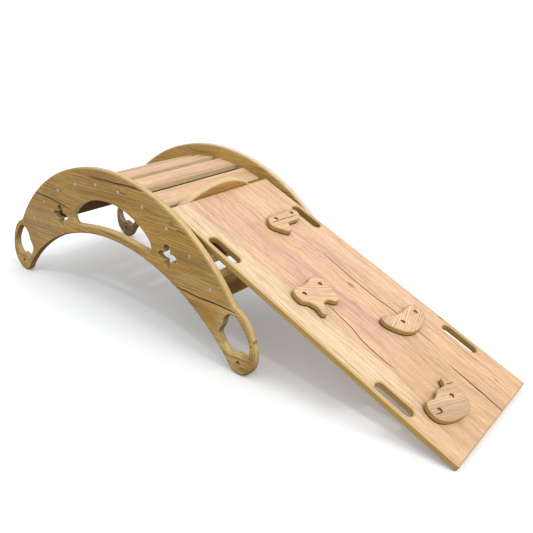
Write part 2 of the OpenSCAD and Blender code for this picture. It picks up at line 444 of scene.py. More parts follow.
class Sheet:
    """The points and faces of one board while it is being made."""

    def __init__(self) -> None:
        """Starts with nothing in it."""
        self.points: list[Array] = []
        self.worked: list[Array] = []
        self.faces: list[tuple[int, ...]] = []
        self.count = 0

    def add_points(self, points: Array, worked: Array) -> int:
        """Adds points with how far each is on a worked edge, and how much painted shade it has.

        Args:
            points: Own sizes along, across and out, (n, 3).
            worked: Shares of routed edge, of its arris and of painted shade, (n, 3).

        Returns:
            The number of the first of them.
        """
        start = self.count
        self.points.append(points)
        self.worked.append(worked)
        self.count += len(points)
        return start

    def add_band(self, start: int, rings: int, size: int) -> None:
        """Joins rings of points with four-sided faces.

        Args:
            start: Number of the first point of the first ring.
            rings: How many rings follow each other.
            size: Points in a ring.
        """
        ring, i = np.meshgrid(np.arange(rings - 1), np.arange(size), indexing="ij")
        here, there = start + ring * size, start + (ring + 1) * size
        after = (i + 1) % size
        quads = np.stack([here + i, there + i, there + after, here + after], axis=-1)
        self.faces.extend(map(tuple, quads.reshape(-1, 4).tolist()))

    def add_face(self, loops: Sequence[tuple[int, Array]], outward: bool) -> None:
        """Fills a flat face between its outline and its openings with triangles.

        Of the triangles inside the outline, those that lie in an opening too are left out, and
        the sign of its area says which way round a triangle goes.

        Args:
            loops: The outline first, then the openings, each as the number of its first point
                and its points, (n, 2).
            outward: Whether the face looks out, or in.
        """
        flat = np.vstack([points for _, points in loops])
        numbers = np.concatenate([start + np.arange(len(points)) for start, points in loops])
        ends = np.cumsum([0] + [len(points) for _, points in loops])
        rims = [list(range(ends[i], ends[i + 1])) for i in range(len(loops))]
        rims = [rim if np.allclose(wound(flat[rim]), flat[rim]) else rim[::-1] for rim in rims]
        _, _, tris, source, _, inside = delaunay_2d_cdt(flat.tolist(), [], rims, INSIDE_ONLY, SAME_PLACE)
        for tri, rim in zip(tris, inside):
            if list(rim) != [0]:
                continue
            corners = [source[v][0] for v in tri]
            (ax, ay), (bx, by), (cx, cy) = flat[corners]
            left = (bx - ax) * (cy - ay) - (by - ay) * (cx - ax) > 0
            corners = corners if left == outward else corners[::-1]
            self.faces.append(tuple(int(numbers[c]) for c in corners))


@dataclass
class Board:
    """A flat board with worked edges, openings and pockets.

    Attributes:
        name: The piece's name.
        seat: Where it lies.
        thickness: Its thickness.
        outline: Its outline.
        openings: What is cut through it.
        pockets: What is sunk in its outer face.
        grain: How its figure lies.
        steps: Straight pieces in each rounded edge.
        painted_wall_shade: Strength of the painted shade on the walls of each cut, most on its shade side.
        contact_shade: Strength of the painted contact shadow at the foot of the outline's edge, where the
            board lies on another.
        contact_shade_h: Height of that painted shadow.
        contact_shade_fade: Height over which it fades out above.
    """

    name: str
    seat: Seat
    thickness: float
    outline: Cut
    openings: Sequence[Cut] = ()
    pockets: Sequence[Cut] = ()
    grain: Grain = field(default_factory=Grain)
    steps: int = 5
    painted_wall_shade: float = 0.0
    contact_shade: float = 0.0
    contact_shade_h: float = 3.6
    contact_shade_fade: float = 0.8

    def edge_profile(self, cut: Cut) -> Array:
        """The shape of an edge, from the outer face to the inner, or to a pocket's floor.

        The rounding is a quarter circle: with turn t from 0 to 90 degrees the point lies
        r (1 - sin t) into the wood and r (1 - cos t) under the face.

        Args:
            cut: The cut whose edge it is.

        Returns:
            For each ring of points: how far into the wood, how far under the outer face, and
            the shares of worked edge, of arris and of painted shade.
        """
        r, t = cut.arris, np.linspace(0, math.pi / 2, self.steps + 1)
        into, under, arris = r * (1 - np.sin(t)), r * (1 - np.cos(t)), np.sin(2 * t)
        top = np.column_stack([into, under, np.ones_like(t), arris, np.zeros_like(t)])
        top = np.vstack([[r + GUARD, 0, 0, 0, 0], top, [0, r + GUARD, 1, 0, 0]])
        if cut.depth is not None:
            # painted shade in a pocket: it deepens down the walls and is full from half the depth to the
            # floor
            lows = (cut.depth / 2, cut.depth - GUARD, cut.depth)
            return np.vstack([top, [[0, low, 1, 0, 1] for low in lows]])
        low = top[::-1] * [1, -1, 1, 1, 1] + [0, self.thickness, 0, 0, 0]
        # painted contact shadow along the foot of the outline's wall
        if cut is self.outline and self.contact_shade:
            low[:, 4] = self.contact_shade
            foot = self.thickness - self.contact_shade_h
            clear = foot - self.contact_shade_fade
            top = np.vstack([top, [0, clear, 1, 0, 0], [0, foot, 1, 0, self.contact_shade]])
        return np.vstack([top, low])

    def carry(self, sheet: Sheet, cut: Cut, left: bool) -> tuple[tuple[int, Array], tuple[int, Array]]:
        """Carries the edge's profile along a cut.

        A point of the cut moves into the wood along the bisector of its two sides, by the
        profile's distance over the cosine of half the turn between them. Its wall's painted shade
        is the painted wall shade times the sum of that bisector's share of the shade side and the
        all-round shade, which is kept between 0 and 1.

        Args:
            sheet: Where the points and faces go.
            cut: The cut.
            left: Whether the wood lies inside the cut, as for the outline, or round it.

        Returns:
            The first and last rings, each as its first number and its points.
        """
        loop = wound(cut.loop, left)
        side = np.roll(loop, -1, 0) - loop
        side = side / np.linalg.norm(side, axis=1, keepdims=True)
        normal = np.column_stack([-side[:, 1], side[:, 0]])
        before = np.roll(normal, 1, 0)
        share = 1 + np.sum(normal * before, axis=1, keepdims=True)
        bisector = (normal + before) / np.maximum(share, SHARPEST)
        profile = self.edge_profile(cut)
        flat = loop[None] + profile[:, None, :1] * bisector[None]
        out = np.broadcast_to(self.thickness - profile[:, None, 1:2], flat.shape[:2] + (1,))
        worked = np.broadcast_to(profile[:, None, 2:], flat.shape[:2] + (3,)).copy()
        # painted shade on the walls, most where they face the shade side, as on walls that face down
        over = np.clip(bisector @ np.array(cut.shade_side) + cut.all_round_shade, 0.0, 1.0) * self.painted_wall_shade
        worked[..., 2] = np.maximum(worked[..., 2], over[None] * worked[..., 0])
        points = np.concatenate([flat, out], axis=2)
        start = sheet.add_points(points.reshape(-1, 3), worked.reshape(-1, 3))
        rings, size = flat.shape[:2]
        sheet.add_band(start, rings, size)
        return (start, flat[0]), (start + (rings - 1) * size, flat[-1])

    def build(self) -> Piece:
        """Makes the board's mesh, with its place in the plank, its worked edges and its painted shade as
        attributes.

        The profiles carried round the outline and the cuts are closed by the two flat faces.

        Returns:
            The finished piece, at the origin.
        """
        sheet = Sheet()
        outer, inner = self.carry(sheet, self.outline, left=True)
        outers, inners = [outer], [inner]
        for cut in self.openings:
            first, last = self.carry(sheet, cut, left=False)
            outers.append(first)
            inners.append(last)
        for cut in self.pockets:
            first, last = self.carry(sheet, cut, left=False)
            outers.append(first)
            sheet.add_face([last], outward=True)
        sheet.add_face(outers, outward=True)
        sheet.add_face(inners, outward=False)
        sizes = np.vstack(sheet.points)
        plank, worked = self.grain.read(sizes), np.vstack(sheet.worked)
        return make_piece(self.name, self.seat.place(sizes), sheet.faces, plank, worked)


def make_piece(
    name: str, points: Array, faces: Sequence[tuple[int, ...]], plank: Array, worked: Array
) -> Piece:
    """Puts points and faces into a mesh piece with its two finish attributes.

    Args:
        name: The piece's name.
        points: Places in the frame, in metres, (n, 3).
        faces: Numbers of the points round each face.
        plank: Places in the plank, in decimetres, (n, 3).
        worked: Shares of worked edge, of arris and of painted shade, (n, 3).

    Returns:
        The piece, linked to the scene.
    """
    mesh = bpy.data.meshes.new(name)
    mesh.from_pydata(points.tolist(), [], faces)
    mesh.polygons.foreach_set("use_smooth", np.ones(len(mesh.polygons), bool))
    for label, values in (("plank", plank), ("worked", worked)):
        layer = mesh.attributes.new(label, "FLOAT_VECTOR", "POINT")
        layer.data.foreach_set("vector", values.astype(np.float32).ravel())
    mesh.validate()
    mesh.update()
    piece = shown(name, mesh)
    LOG.info("%s: %d points, %d faces", name, len(mesh.vertices), len(mesh.polygons))
    return piece


# ---------------------------------------------------------------- finishes


@dataclass(frozen=True)
class Clouds:
    """A pattern of cloudy noise about 0.5.

    Attributes:
        scale: Clouds in each unit of length, for each direction.
        detail: How many finer layers are added.
        rough: Strength of each finer layer.
        shift: Moves the pattern, so that two patterns differ.
    """

    scale: tuple[float, float, float]
    detail: float = 3.0
    rough: float = 0.6
    shift: float = 0.0


class Tree:
    """A material's nodes, made one after another from left to right."""

    def __init__(self, name: str) -> None:
        """Starts a material with its output and its surface shader.

        Args:
            name: The material's name.
        """
        self.material = bpy.data.materials.new(name)
        self.material.use_nodes = True
        self.nodes = self.material.node_tree.nodes
        self.links = self.material.node_tree.links
        self.nodes.clear()
        self.out = self.nodes.new("ShaderNodeOutputMaterial")
        self.shader = self.nodes.new("ShaderNodeBsdfPrincipled")
        self.links.new(self.shader.outputs[0], self.out.inputs[0])

    def feed(self, socket: Socket, value: Value) -> None:
        """Links another node's output to a socket, or sets the socket's own value.

        Args:
            socket: The socket.
            value: An output, a colour or a number.
        """
        if isinstance(value, Socket):
            self.links.new(value, socket)
        elif isinstance(value, tuple) and socket.type == "RGBA":
            socket.default_value = (*value, 1.0)
        else:
            socket.default_value = value

    def surface(self, looks: dict[str, Value]) -> None:
        """Feeds the shader's sockets, each by its name."""
        for name, value in looks.items():
            self.feed(self.shader.inputs[name], value)

    def node(self, kind: str, values: Sequence[Value], **settings: object) -> bpy.types.Node:
        """Makes a node and feeds its first sockets.

        Args:
            kind: Blender's name of the node.
            values: What its sockets get, in their order.
            settings: The node's own settings.

        Returns:
            The node.
        """
        node = self.nodes.new(kind)
        for name, setting in settings.items():
            setattr(node, name, setting)
        for socket, value in zip(node.inputs, values):
            self.feed(socket, value)
        return node

    def math(self, kind: str, a: Value, b: Value = 0.0, c: Value = 0.0, clamp: bool = False) -> Socket:
        """A sum on up to three numbers.

        Args:
            kind: Blender's name of the operation.
            a, b, c: Numbers or outputs.
            clamp: Whether the result is kept between 0 and 1.

        Returns:
            The result.
        """
        return self.node("ShaderNodeMath", (a, b, c), operation=kind, use_clamp=clamp).outputs[0]

    def vector(self, kind: str, a: Value, b: Value) -> Socket:
        """A sum on two vectors, whose result is a vector."""
        return self.node("ShaderNodeVectorMath", (a, b), operation=kind).outputs[0]

    def length(self, x: Value, y: Value, z: Value) -> Socket:
        """Length of a vector: the root of x^2 + y^2 + z^2."""
        values = (self.join(x, y, z),)
        return self.node("ShaderNodeVectorMath", values, operation="LENGTH").outputs["Value"]

    def attribute(self, name: str) -> Socket:
        """One of a piece's own vector attributes."""
        return self.node("ShaderNodeAttribute", (), attribute_name=name).outputs["Vector"]

    def split(self, vector: Socket) -> list[Socket]:
        """The three numbers of a vector."""
        return list(self.node("ShaderNodeSeparateXYZ", (vector,)).outputs)

    def join(self, x: Value, y: Value, z: Value) -> Socket:
        """A vector of three numbers."""
        return self.node("ShaderNodeCombineXYZ", (x, y, z)).outputs[0]

    def noise(self, vector: Socket, clouds: Clouds, seed: float = 0.0) -> Socket:
        """Cloudy noise, read at a place that is stretched by the pattern's scale and then moved.

        Args:
            vector: The place.
            clouds: The pattern.
            seed: Moves the pattern further.

        Returns:
            The noise.
        """
        node = self.nodes.new("ShaderNodeTexNoise")
        node.inputs["Scale"].default_value = 1.0
        node.inputs["Detail"].default_value = clouds.detail
        node.inputs["Roughness"].default_value = clouds.rough
        move = seed + clouds.shift
        stretched = self.vector("MULTIPLY", vector, clouds.scale)
        moved = self.vector("ADD", stretched, tuple(way * move for way in SHIFT_WAY))
        self.links.new(moved, node.inputs["Vector"])
        return node.outputs[0]

    def ramp(self, value: Value, stops: Sequence[Point]) -> Socket:
        """A number read off straight lines through stops.

        Args:
            value: Where it is read.
            stops: Places and the heights there.

        Returns:
            The height at that place.
        """
        node = self.node("ShaderNodeValToRGB", (value,))
        band = node.color_ramp.elements
        while len(band) < len(stops):
            band.new(0.5)
        for element, (place, height) in zip(band, stops):
            element.position, element.color = place, (height, height, height, 1.0)
        return node.outputs[0]

    def mix(self, share: Value, a: Value, b: Value, kind: str = "MIX") -> Socket:
        """Two colours mixed: a, with a share of b over it.

        Args:
            share: How much of b shows.
            a, b: The colours.
            kind: Blender's name of the way they mix.

        Returns:
            The colour.
        """
        node = self.node("ShaderNodeMix", (share,), data_type="RGBA", blend_type=kind)
        self.feed(node.inputs[MIX_A], a)
        self.feed(node.inputs[MIX_B], b)
        return node.outputs[2]

    def tinted(self, colour: Value, tint: Value) -> Socket:
        """A colour multiplied by another."""
        return self.mix(1.0, colour, tint, "MULTIPLY")

    def shaded(self, colour: Value, shade: Socket) -> Socket:
        """A colour multiplied by a number."""
        return self.tinted(colour, self.join(shade, shade, shade))

    def curve(self, value: Value, points: Sequence[Point]) -> Socket:
        """A number read off a smooth curve.

        Args:
            value: Where it is read.
            points: Points of the curve, with x and y both from 0 to 1.

        Returns:
            The curve's height there.
        """
        node = self.nodes.new("ShaderNodeFloatCurve")
        self.feed(node.inputs["Value"], value)
        line = node.mapping.curves[0].points
        line[0].location, line[1].location = points[0], points[-1]
        for x, y in points[1:-1]:
            line.new(x, y)
        node.mapping.update()
        return node.outputs[0]

    def span(self, value: Value, start: Point, end: Point = (0.0, 1.0), smooth: bool = False) -> Socket:
        """A range carried onto another, and kept inside it.

        Args:
            value: A number.
            start: The range that it comes from.
            end: The range that it is carried to.
            smooth: Whether the change begins and ends softly.

        Returns:
            The carried number.
        """
        steps = "SMOOTHSTEP" if smooth else "LINEAR"
        return self.node("ShaderNodeMapRange", (value, *start, *end), interpolation_type=steps).outputs[0]

    def bump(self, height: Value, strength: float, distance: float) -> Socket:
        """A normal tilted by a height.

        Args:
            height: The height.
            strength: How much of the tilt shows.
            distance: How high a height of one stands, in metres.

        Returns:
            The normal.
        """
        node = self.nodes.new("ShaderNodeBump")
        for name, value in (("Strength", strength), ("Distance", distance), ("Height", height)):
            self.feed(node.inputs[name], value)
        return node.outputs[0]


@dataclass(frozen=True)
class Crack:
    """A dark drying crack, or a dark grain line, that runs about along the grain.

    Attributes:
        path: Its points, along and across the grain, in millimetres.
        width: Its full width in the middle.
        dark: How dark it is, from 0 to 1.
        taper: How its width grows and shrinks from one end to the other.
        margin: Room above and below its path on the curve that draws it, in decimetres.
    """

    path: tuple[Point, ...]
    width: float = 2.2
    dark: float = 0.8
    taper: tuple[Point, ...] = ((0.0, 0.0), (0.12, 0.75), (0.5, 1.0), (0.85, 0.7), (1.0, 0.0))
    margin: float = 0.01

    def mask(self, tree: Tree, x: Socket, y: Socket) -> Socket:
        """Where the crack is.

        It is one less the distance from its line over its half width, twice over and at most
        one, and the width narrows to nothing at both ends.

        Args:
            tree: The material.
            x: Place along the grain.
            y: Place across it.

        Returns:
            How dark the crack is there.
        """
        xs, ys = (np.array(self.path).T * GRAIN_UNIT).tolist()
        low, high = min(ys) - self.margin, max(ys) + self.margin
        run = tree.span(x, (xs[0], xs[-1]))
        points = [
            ((px - xs[0]) / (xs[-1] - xs[0]), (py - low) / (high - low)) for px, py in zip(xs, ys)
        ]
        line = tree.math("MULTIPLY_ADD", tree.curve(run, points), high - low, low)
        away = tree.math("ABSOLUTE", tree.math("SUBTRACT", y, line))
        taper = tree.ramp(run, self.taper)
        half = tree.math("MULTIPLY_ADD", taper, self.width / 2 * GRAIN_UNIT, HAIR)
        close = tree.math("SUBTRACT", 1.0, tree.math("DIVIDE", away, half), clamp=True)
        soft = tree.math("MULTIPLY", tree.math("MULTIPLY", close, 2.0, clamp=True), self.dark)
        return tree.math("MULTIPLY", soft, tree.math("GREATER_THAN", taper, ENDED))


@dataclass(frozen=True)
class Knot:
    """A knot, round which the grain bends.

    Attributes:
        place: Its middle, along and across the grain, in millimetres.
        length: Its length along the grain.
        width: Its width.
        dark: How dark its heart is.
    """

    place: Point
    length: float
    width: float
    dark: float = 0.6


@dataclass(frozen=True)
class StainOrShadingPatch:
    """A patch of another tone with soft, wandering borders; most are stains of the wood, and those noted
    are painted light or painted shade.

    Attributes:
        place: Its middle, along and across the grain, in millimetres.
        half: Half its length along the grain and half its width, in millimetres.
        tone: Its colour.
        share: How much of the colour shows in its middle.
        inner: Whether it shows on the board's inner face alone.
        fade: Where it begins to fade and where it has gone, counted in its half sizes.
    """

    place: Point
    half: Point
    tone: Colour
    share: float = 0.6
    inner: bool = False
    fade: Point = (0.45, 1.15)

    def mask(self, tree: Tree, x: Socket, y: Socket) -> Socket:
        """How much of it shows.

        It is the share times a smooth step down from 1 to 0, as the distance from its middle,
        counted in its half sizes, goes through its fade.

        Args:
            tree: The material.
            x: Place along the grain.
            y: Place across it.

        Returns:
            How much of its colour shows there.
        """
        dx, dy = (
            tree.math("DIVIDE", tree.math("SUBTRACT", value, place * GRAIN_UNIT), half * GRAIN_UNIT)
            for value, place, half in zip((x, y), self.place, self.half)
        )
        return tree.span(tree.length(dx, dy, 0.0), self.fade, (self.share, 0.0), smooth=True)


SWAY = Clouds((0.35, 1.1, 1.1), detail=2.0, rough=0.5)
DRIFT = Clouds((0.5, 3.0, 3.0), detail=2.0, rough=0.5, shift=5.0)
BROAD_BANDS = Clouds((0.16, 1.5, 1.5), rough=0.55, shift=11.0)
TONES = Clouds((0.22, 2.6, 2.6), shift=17.0)
FIBRES = Clouds((1.6, 42.0, 42.0), shift=23.0)
PORES = Clouds((4.0, 90.0, 90.0), detail=2.0, shift=29.0)
SAW_LINES = Clouds((0.6, 9.0, 14.0), shift=31.0)
CRACK_SHIVER = Clouds((3.0, 1.0, 1.0), shift=37.0)
STAIN_WANDER = Clouds((0.7, 2.4, 2.4), shift=41.0)
STREAKS = Clouds((0.4, 13.0, 13.0), detail=4.0, rough=0.65, shift=47.0)
YEAR_LINE = ((0.0, 0.15), (0.45, 0.3), (0.82, 1.0), (1.0, 0.15))
MID_BOARD = (0.06, 0.12)  # heights in a board, in decimetres, where its inner looks give way to its outer
USUAL = (0.3, 0.7)  # the range in which most of a noise lies
KNOT_FALL = 0.35  # how fast a knot's pull falls off with the square of the distance, in its sizes
KNOT_HEART = (0.05, 1.1)  # squares of that distance between which the knot's heart fades out


@dataclass(frozen=True)
class Oak:
    """Oiled oak: broad bands of tone, stains, year lines, fibres, pores, knots and cracks, and painted
    light and shade.

    Attributes:
        name: The material's name.
        pale, warm, streak: The wood's lightest tone, its usual one, and that of its dark bands.
        line: Colour of cracks and pores.
        edge: Colour of the routed edges.
        arris: Colour of the rounding between a face and a routed edge.
        painted_shade: Colour of the painted shade on undersides, on walls that face down, in pockets and
            along contact lines.
        heart_tone: Colour of the hearts of knots.
        bands: How much of the dark bands shows.
        year: Strength of the year lines.
        year_step: Distance between year lines, in millimetres.
        heart: Where the middle of the tree lay: across the board and out of it, in millimetres.
        fibre: Strength of the fine fibres.
        outer_shade_tint: What the outer face's colour is multiplied by, as painted shade that brings a lit
            copy of the wood down to its shaded tones, or None.
        rough: Roughness of the surface.
        painted_shade_share: How much of the painted shade's colour shows where that shade is full.
        knot_pull: Share of their way by which places are drawn to a knot's middle.
        sway: How far the grain sways across the board, in decimetres.
        year_drift: How many of their steps the year lines drift, at most.
        wander: How far stains wander along and across the grain, in decimetres.
        shiver: How far cracks shiver to the side, in decimetres.
        seed: Moves all the patterns.
        stains: Its patches of other tones on the faces; one on the far panel is partly painted shade.
        edge_stains_and_painted_shading: The same on the routed edges, where some are painted light and
            painted shade.
        cracks: Its cracks.
        knots: Its knots.
    """

    name: str
    pale: Colour
    warm: Colour
    streak: Colour
    line: Colour
    edge: Colour
    arris: Colour
    painted_shade: Colour = (0.060, 0.024, 0.005)
    heart_tone: Colour = (0.15, 0.07, 0.05)
    bands: float = 0.6
    year: float = 0.35
    year_step: float = 5.0
    heart: Point = (0.0, -70.0)
    fibre: float = 0.6
    outer_shade_tint: Colour | None = None
    rough: float = 0.5
    painted_shade_share: float = 0.93
    knot_pull: float = 0.75
    sway: float = 0.42
    year_drift: float = 3.0
    wander: Point = (1.6, 0.45)
    shiver: float = 0.04
    seed: float = 0.0
    stains: tuple[StainOrShadingPatch, ...] = ()
    edge_stains_and_painted_shading: tuple[StainOrShadingPatch, ...] = ()
    cracks: tuple[Crack, ...] = ()
    knots: tuple[Knot, ...] = ()

    def noise(self, tree: Tree, place: Socket, clouds: Clouds) -> Socket:
        """A pattern of noise, moved by the finish's own seed."""
        return tree.noise(place, clouds, self.seed)

    def bend(self, tree: Tree, place: Socket) -> tuple[list[Socket], Value]:
        """Bends the plank's places as the tree grew, and finds the knots.

        With d the distance from a knot's middle, counted in its sizes, a place is drawn across
        the grain towards that middle by the knots' pull times exp(-KNOT_FALL d^2), as a share
        of its way, so that year lines swing out round the knot. Slow noise then sways the whole.

        Args:
            tree: The material.
            place: Place in the plank.

        Returns:
            The bent place's three numbers, and how much of a knot's heart is there.
        """
        x, y, z = tree.split(place)
        heart = 0.0
        for knot in self.knots:
            off_x = tree.math("SUBTRACT", x, knot.place[0] * GRAIN_UNIT)
            off_y = tree.math("SUBTRACT", y, knot.place[1] * GRAIN_UNIT)
            dx = tree.math("DIVIDE", off_x, knot.length * GRAIN_UNIT)
            dy = tree.math("DIVIDE", off_y, knot.width * GRAIN_UNIT)
            far = tree.math("ADD", tree.math("MULTIPLY", dx, dx), tree.math("MULTIPLY", dy, dy))
            fall = tree.math("EXPONENT", tree.math("MULTIPLY", far, -KNOT_FALL))
            pull = tree.math("MULTIPLY", fall, self.knot_pull)
            y = tree.math("SUBTRACT", y, tree.math("MULTIPLY", pull, off_y))
            near = tree.span(far, KNOT_HEART, (knot.dark, 0.0), smooth=True)
            heart = tree.math("MAXIMUM", heart, near)
        sway = tree.math("SUBTRACT", self.noise(tree, place, SWAY), 0.5)
        y = tree.math("MULTIPLY_ADD", sway, self.sway, y)
        return [x, y, z], heart

    def years(self, tree: Tree, bent: Socket, y: Socket, z: Socket) -> Socket:
        """Year lines.

        The distance from the tree's middle is divided by their step and moved by noise, and
        the part after the point runs up to a dark line and falls back.

        Args:
            tree: The material.
            bent: The bent place.
            y: Place across the grain.
            z: Place through the board.

        Returns:
            How dark the year line is there.
        """
        off_y = tree.math("SUBTRACT", y, self.heart[0] * GRAIN_UNIT)
        off_z = tree.math("SUBTRACT", z, self.heart[1] * GRAIN_UNIT)
        growth = tree.math("DIVIDE", tree.length(0.0, off_y, off_z), self.year_step * GRAIN_UNIT)
        growth = tree.math("MULTIPLY_ADD", self.noise(tree, bent, DRIFT), self.year_drift, growth)
        return tree.ramp(tree.math("FRACT", growth), YEAR_LINE)

    def tones(self, tree: Tree, bent: Socket) -> Socket:
        """The wood's broad tones: pale and warm clouds, crossed by dark bands.

        Args:
            tree: The material.
            bent: The bent place.

        Returns:
            The colour.
        """
        clouds = tree.span(self.noise(tree, bent, TONES), USUAL, smooth=True)
        broad = self.noise(tree, bent, BROAD_BANDS)
        bands = tree.span(broad, (0.47, 0.66), (0.0, self.bands), smooth=True)
        return tree.mix(bands, tree.mix(clouds, self.warm, self.pale), self.streak)

    def lined(
        self, tree: Tree, wood: Socket, bent: Socket, years: Socket, fibres: Socket, pores: Socket
    ) -> Socket:
        """Lays the wood's fine lines over its tones.

        Year lines and streaks show the tone of the dark bands. The wood is then multiplied by a
        shade that rises with the sum of fibres and streaks, and pores show the cracks' colour.

        Args:
            tree: The material.
            wood: The wood's colour.
            bent: The bent place.
            years: How dark the year line is.
            fibres: The fibres' noise.
            pores: Where the pores are.

        Returns:
            The colour.
        """
        streaks = self.noise(tree, bent, STREAKS)
        wood = tree.mix(tree.math("MULTIPLY", years, self.year), wood, self.streak)
        wood = tree.mix(tree.span(streaks, (0.56, 0.72), (0.0, 0.75 * self.fibre)), wood, self.streak)
        depth = 0.3 * self.fibre
        threads = tree.math("ADD", fibres, streaks)
        wood = tree.shaded(wood, tree.span(threads, (0.7, 1.3), (1.0 - depth, 1.0 + depth)))
        return tree.mix(tree.math("MULTIPLY", pores, 0.5 * self.fibre), wood, self.line)

    def stained(
        self, tree: Tree, wood: Socket, bent: Socket, x: Socket, y: Socket, outer: Socket
    ) -> Socket:
        """Lays the stains over the wood, their places moved by noise.

        Args:
            tree: The material.
            wood: The wood's colour.
            bent: The bent place.
            x: Place along the grain.
            y: Place across it.
            outer: One on the outer face and nought on the inner.

        Returns:
            The stained colour.
        """
        wander = tree.math("SUBTRACT", self.noise(tree, bent, STAIN_WANDER), 0.5)
        x = tree.math("MULTIPLY_ADD", wander, self.wander[0], x)
        y = tree.math("MULTIPLY_ADD", wander, self.wander[1], y)
        for stain in self.stains:
            share = stain.mask(tree, x, y)
            if stain.inner:
                share = tree.math("MULTIPLY", share, tree.math("SUBTRACT", 1.0, outer))
            wood = tree.mix(share, wood, stain.tone)
        return wood

    def rim(self, tree: Tree, place: Socket, bent: Socket, arris: Socket) -> Socket:
        """Colour of the routed edges, with faint lines along the board and the edge patches, some of them
        painted light and shade.

        Args:
            tree: The material.
            place: Place in the plank.
            bent: The bent place.
            arris: Share of the rounding beside a face, which has a colour of its own.

        Returns:
            The colour.
        """
        x, y, _ = tree.split(place)
        shade = tree.span(self.noise(tree, bent, SAW_LINES), USUAL, (0.86, 1.1))
        rim = self.edge
        # edge patches: stains, and on some boards painted light and painted shade
        for stain in self.edge_stains_and_painted_shading:
            rim = tree.mix(stain.mask(tree, x, y), rim, stain.tone)
        rim = tree.mix(tree.span(arris, (0.3, 1.0)), rim, self.arris)
        return tree.shaded(rim, shade)

    def split_lines(self, tree: Tree, place: Socket, x: Socket) -> Value:
        """Where the cracks are. Their lines shiver a little to each side.

        Args:
            tree: The material.
            place: Place in the plank.
            x: Place along the grain.

        Returns:
            How dark the darkest crack is there.
        """
        if not self.cracks:
            return 0.0
        shiver = tree.math("SUBTRACT", self.noise(tree, place, CRACK_SHIVER), 0.5)
        shaky = tree.math("MULTIPLY_ADD", shiver, self.shiver, tree.split(place)[1])
        cracks = 0.0
        for crack in self.cracks:
            cracks = tree.math("MAXIMUM", cracks, crack.mask(tree, x, shaky))
        return cracks

    def material(self) -> bpy.types.Material:
        """Makes the material: the wood's tones first, then its lines, its edges and its painted shade.

        Returns:
            The material.
        """
        tree = Tree(self.name)
        place = tree.attribute("plank")
        # the third worked number, dark, is the share of painted shade
        edge, arris, dark = tree.split(tree.attribute("worked"))
        (x, y, z), knots = self.bend(tree, place)
        bent = tree.join(x, y, z)
        outer = tree.span(z, MID_BOARD)
        years = self.years(tree, bent, y, z)
        fibres = self.noise(tree, bent, FIBRES)
        pores = tree.span(self.noise(tree, bent, PORES), (0.58, 0.72))
        cracks = self.split_lines(tree, place, x)

        wood = self.stained(tree, self.tones(tree, bent), bent, x, y, outer)
        wood = self.lined(tree, wood, bent, years, fibres, pores)
        wood = tree.mix(knots, wood, self.heart_tone)
        wood = tree.mix(cracks, wood, self.line)
        # painted shade: the outer face of a lit copy is multiplied down to the shaded tones
        if self.outer_shade_tint:
            wood = tree.mix(outer, wood, tree.tinted(wood, self.outer_shade_tint))
        wood = tree.mix(edge, wood, self.rim(tree, place, bent, arris))
        # painted shade: the painted shade's colour is mixed in by the third worked number
        wood = tree.mix(tree.math("MULTIPLY", dark, self.painted_shade_share), wood, self.painted_shade)

        lows = tree.math("MULTIPLY_ADD", cracks, 2.0, tree.math("MULTIPLY", pores, 0.4))
        height = tree.math("MULTIPLY_ADD", fibres, 0.4, tree.math("MULTIPLY", years, 0.2))
        height = tree.math("SUBTRACT", height, lows)
        tree.surface({
            "Base Color": wood,
            "Normal": tree.bump(height, strength=0.25, distance=0.0006),
            "Roughness": tree.span(fibres, (0.2, 0.8), (self.rough - 0.06, self.rough + 0.08)),
            # no specular sheen where painted shade lies
            "Specular IOR Level": tree.span(dark, (0.0, 0.6), (0.12, 0.0)),
        })
        return tree.material


@dataclass(frozen=True)
class Zinc:
    """Zinc-plated steel, with faint cloudy marks and a fine grain.

    Attributes:
        name: The material's name.
        colour: Its colour.
        dull: Its colour in the marks.
        rough: Roughness outside the marks.
        marks: The marks' pattern.
        grain: The grain's.
    """

    name: str = "zinc_plate"
    colour: Colour = (0.50, 0.50, 0.50)
    dull: Colour = (0.30, 0.30, 0.29)
    rough: float = 0.36
    marks: Clouds = Clouds((220.0, 220.0, 220.0))
    grain: Clouds = Clouds((1500.0, 1500.0, 1500.0), detail=2.0, rough=0.5, shift=3.0)

    def material(self) -> bpy.types.Material:
        """Makes the material: the marks dull its colour and roughen it.

        Returns:
            The material.
        """
        tree = Tree(self.name)
        place = tree.node("ShaderNodeTexCoord", ()).outputs["Object"]
        marks = tree.noise(place, self.marks)
        tree.surface({
            "Base Color": tree.mix(tree.span(marks, (0.35, 0.7)), self.colour, self.dull),
            "Roughness": tree.span(marks, USUAL, (self.rough, self.rough + 0.18)),
            "Normal": tree.bump(tree.noise(place, self.grain), strength=0.15, distance=0.0002),
            "Metallic": 1.0,
        })
        return tree.material


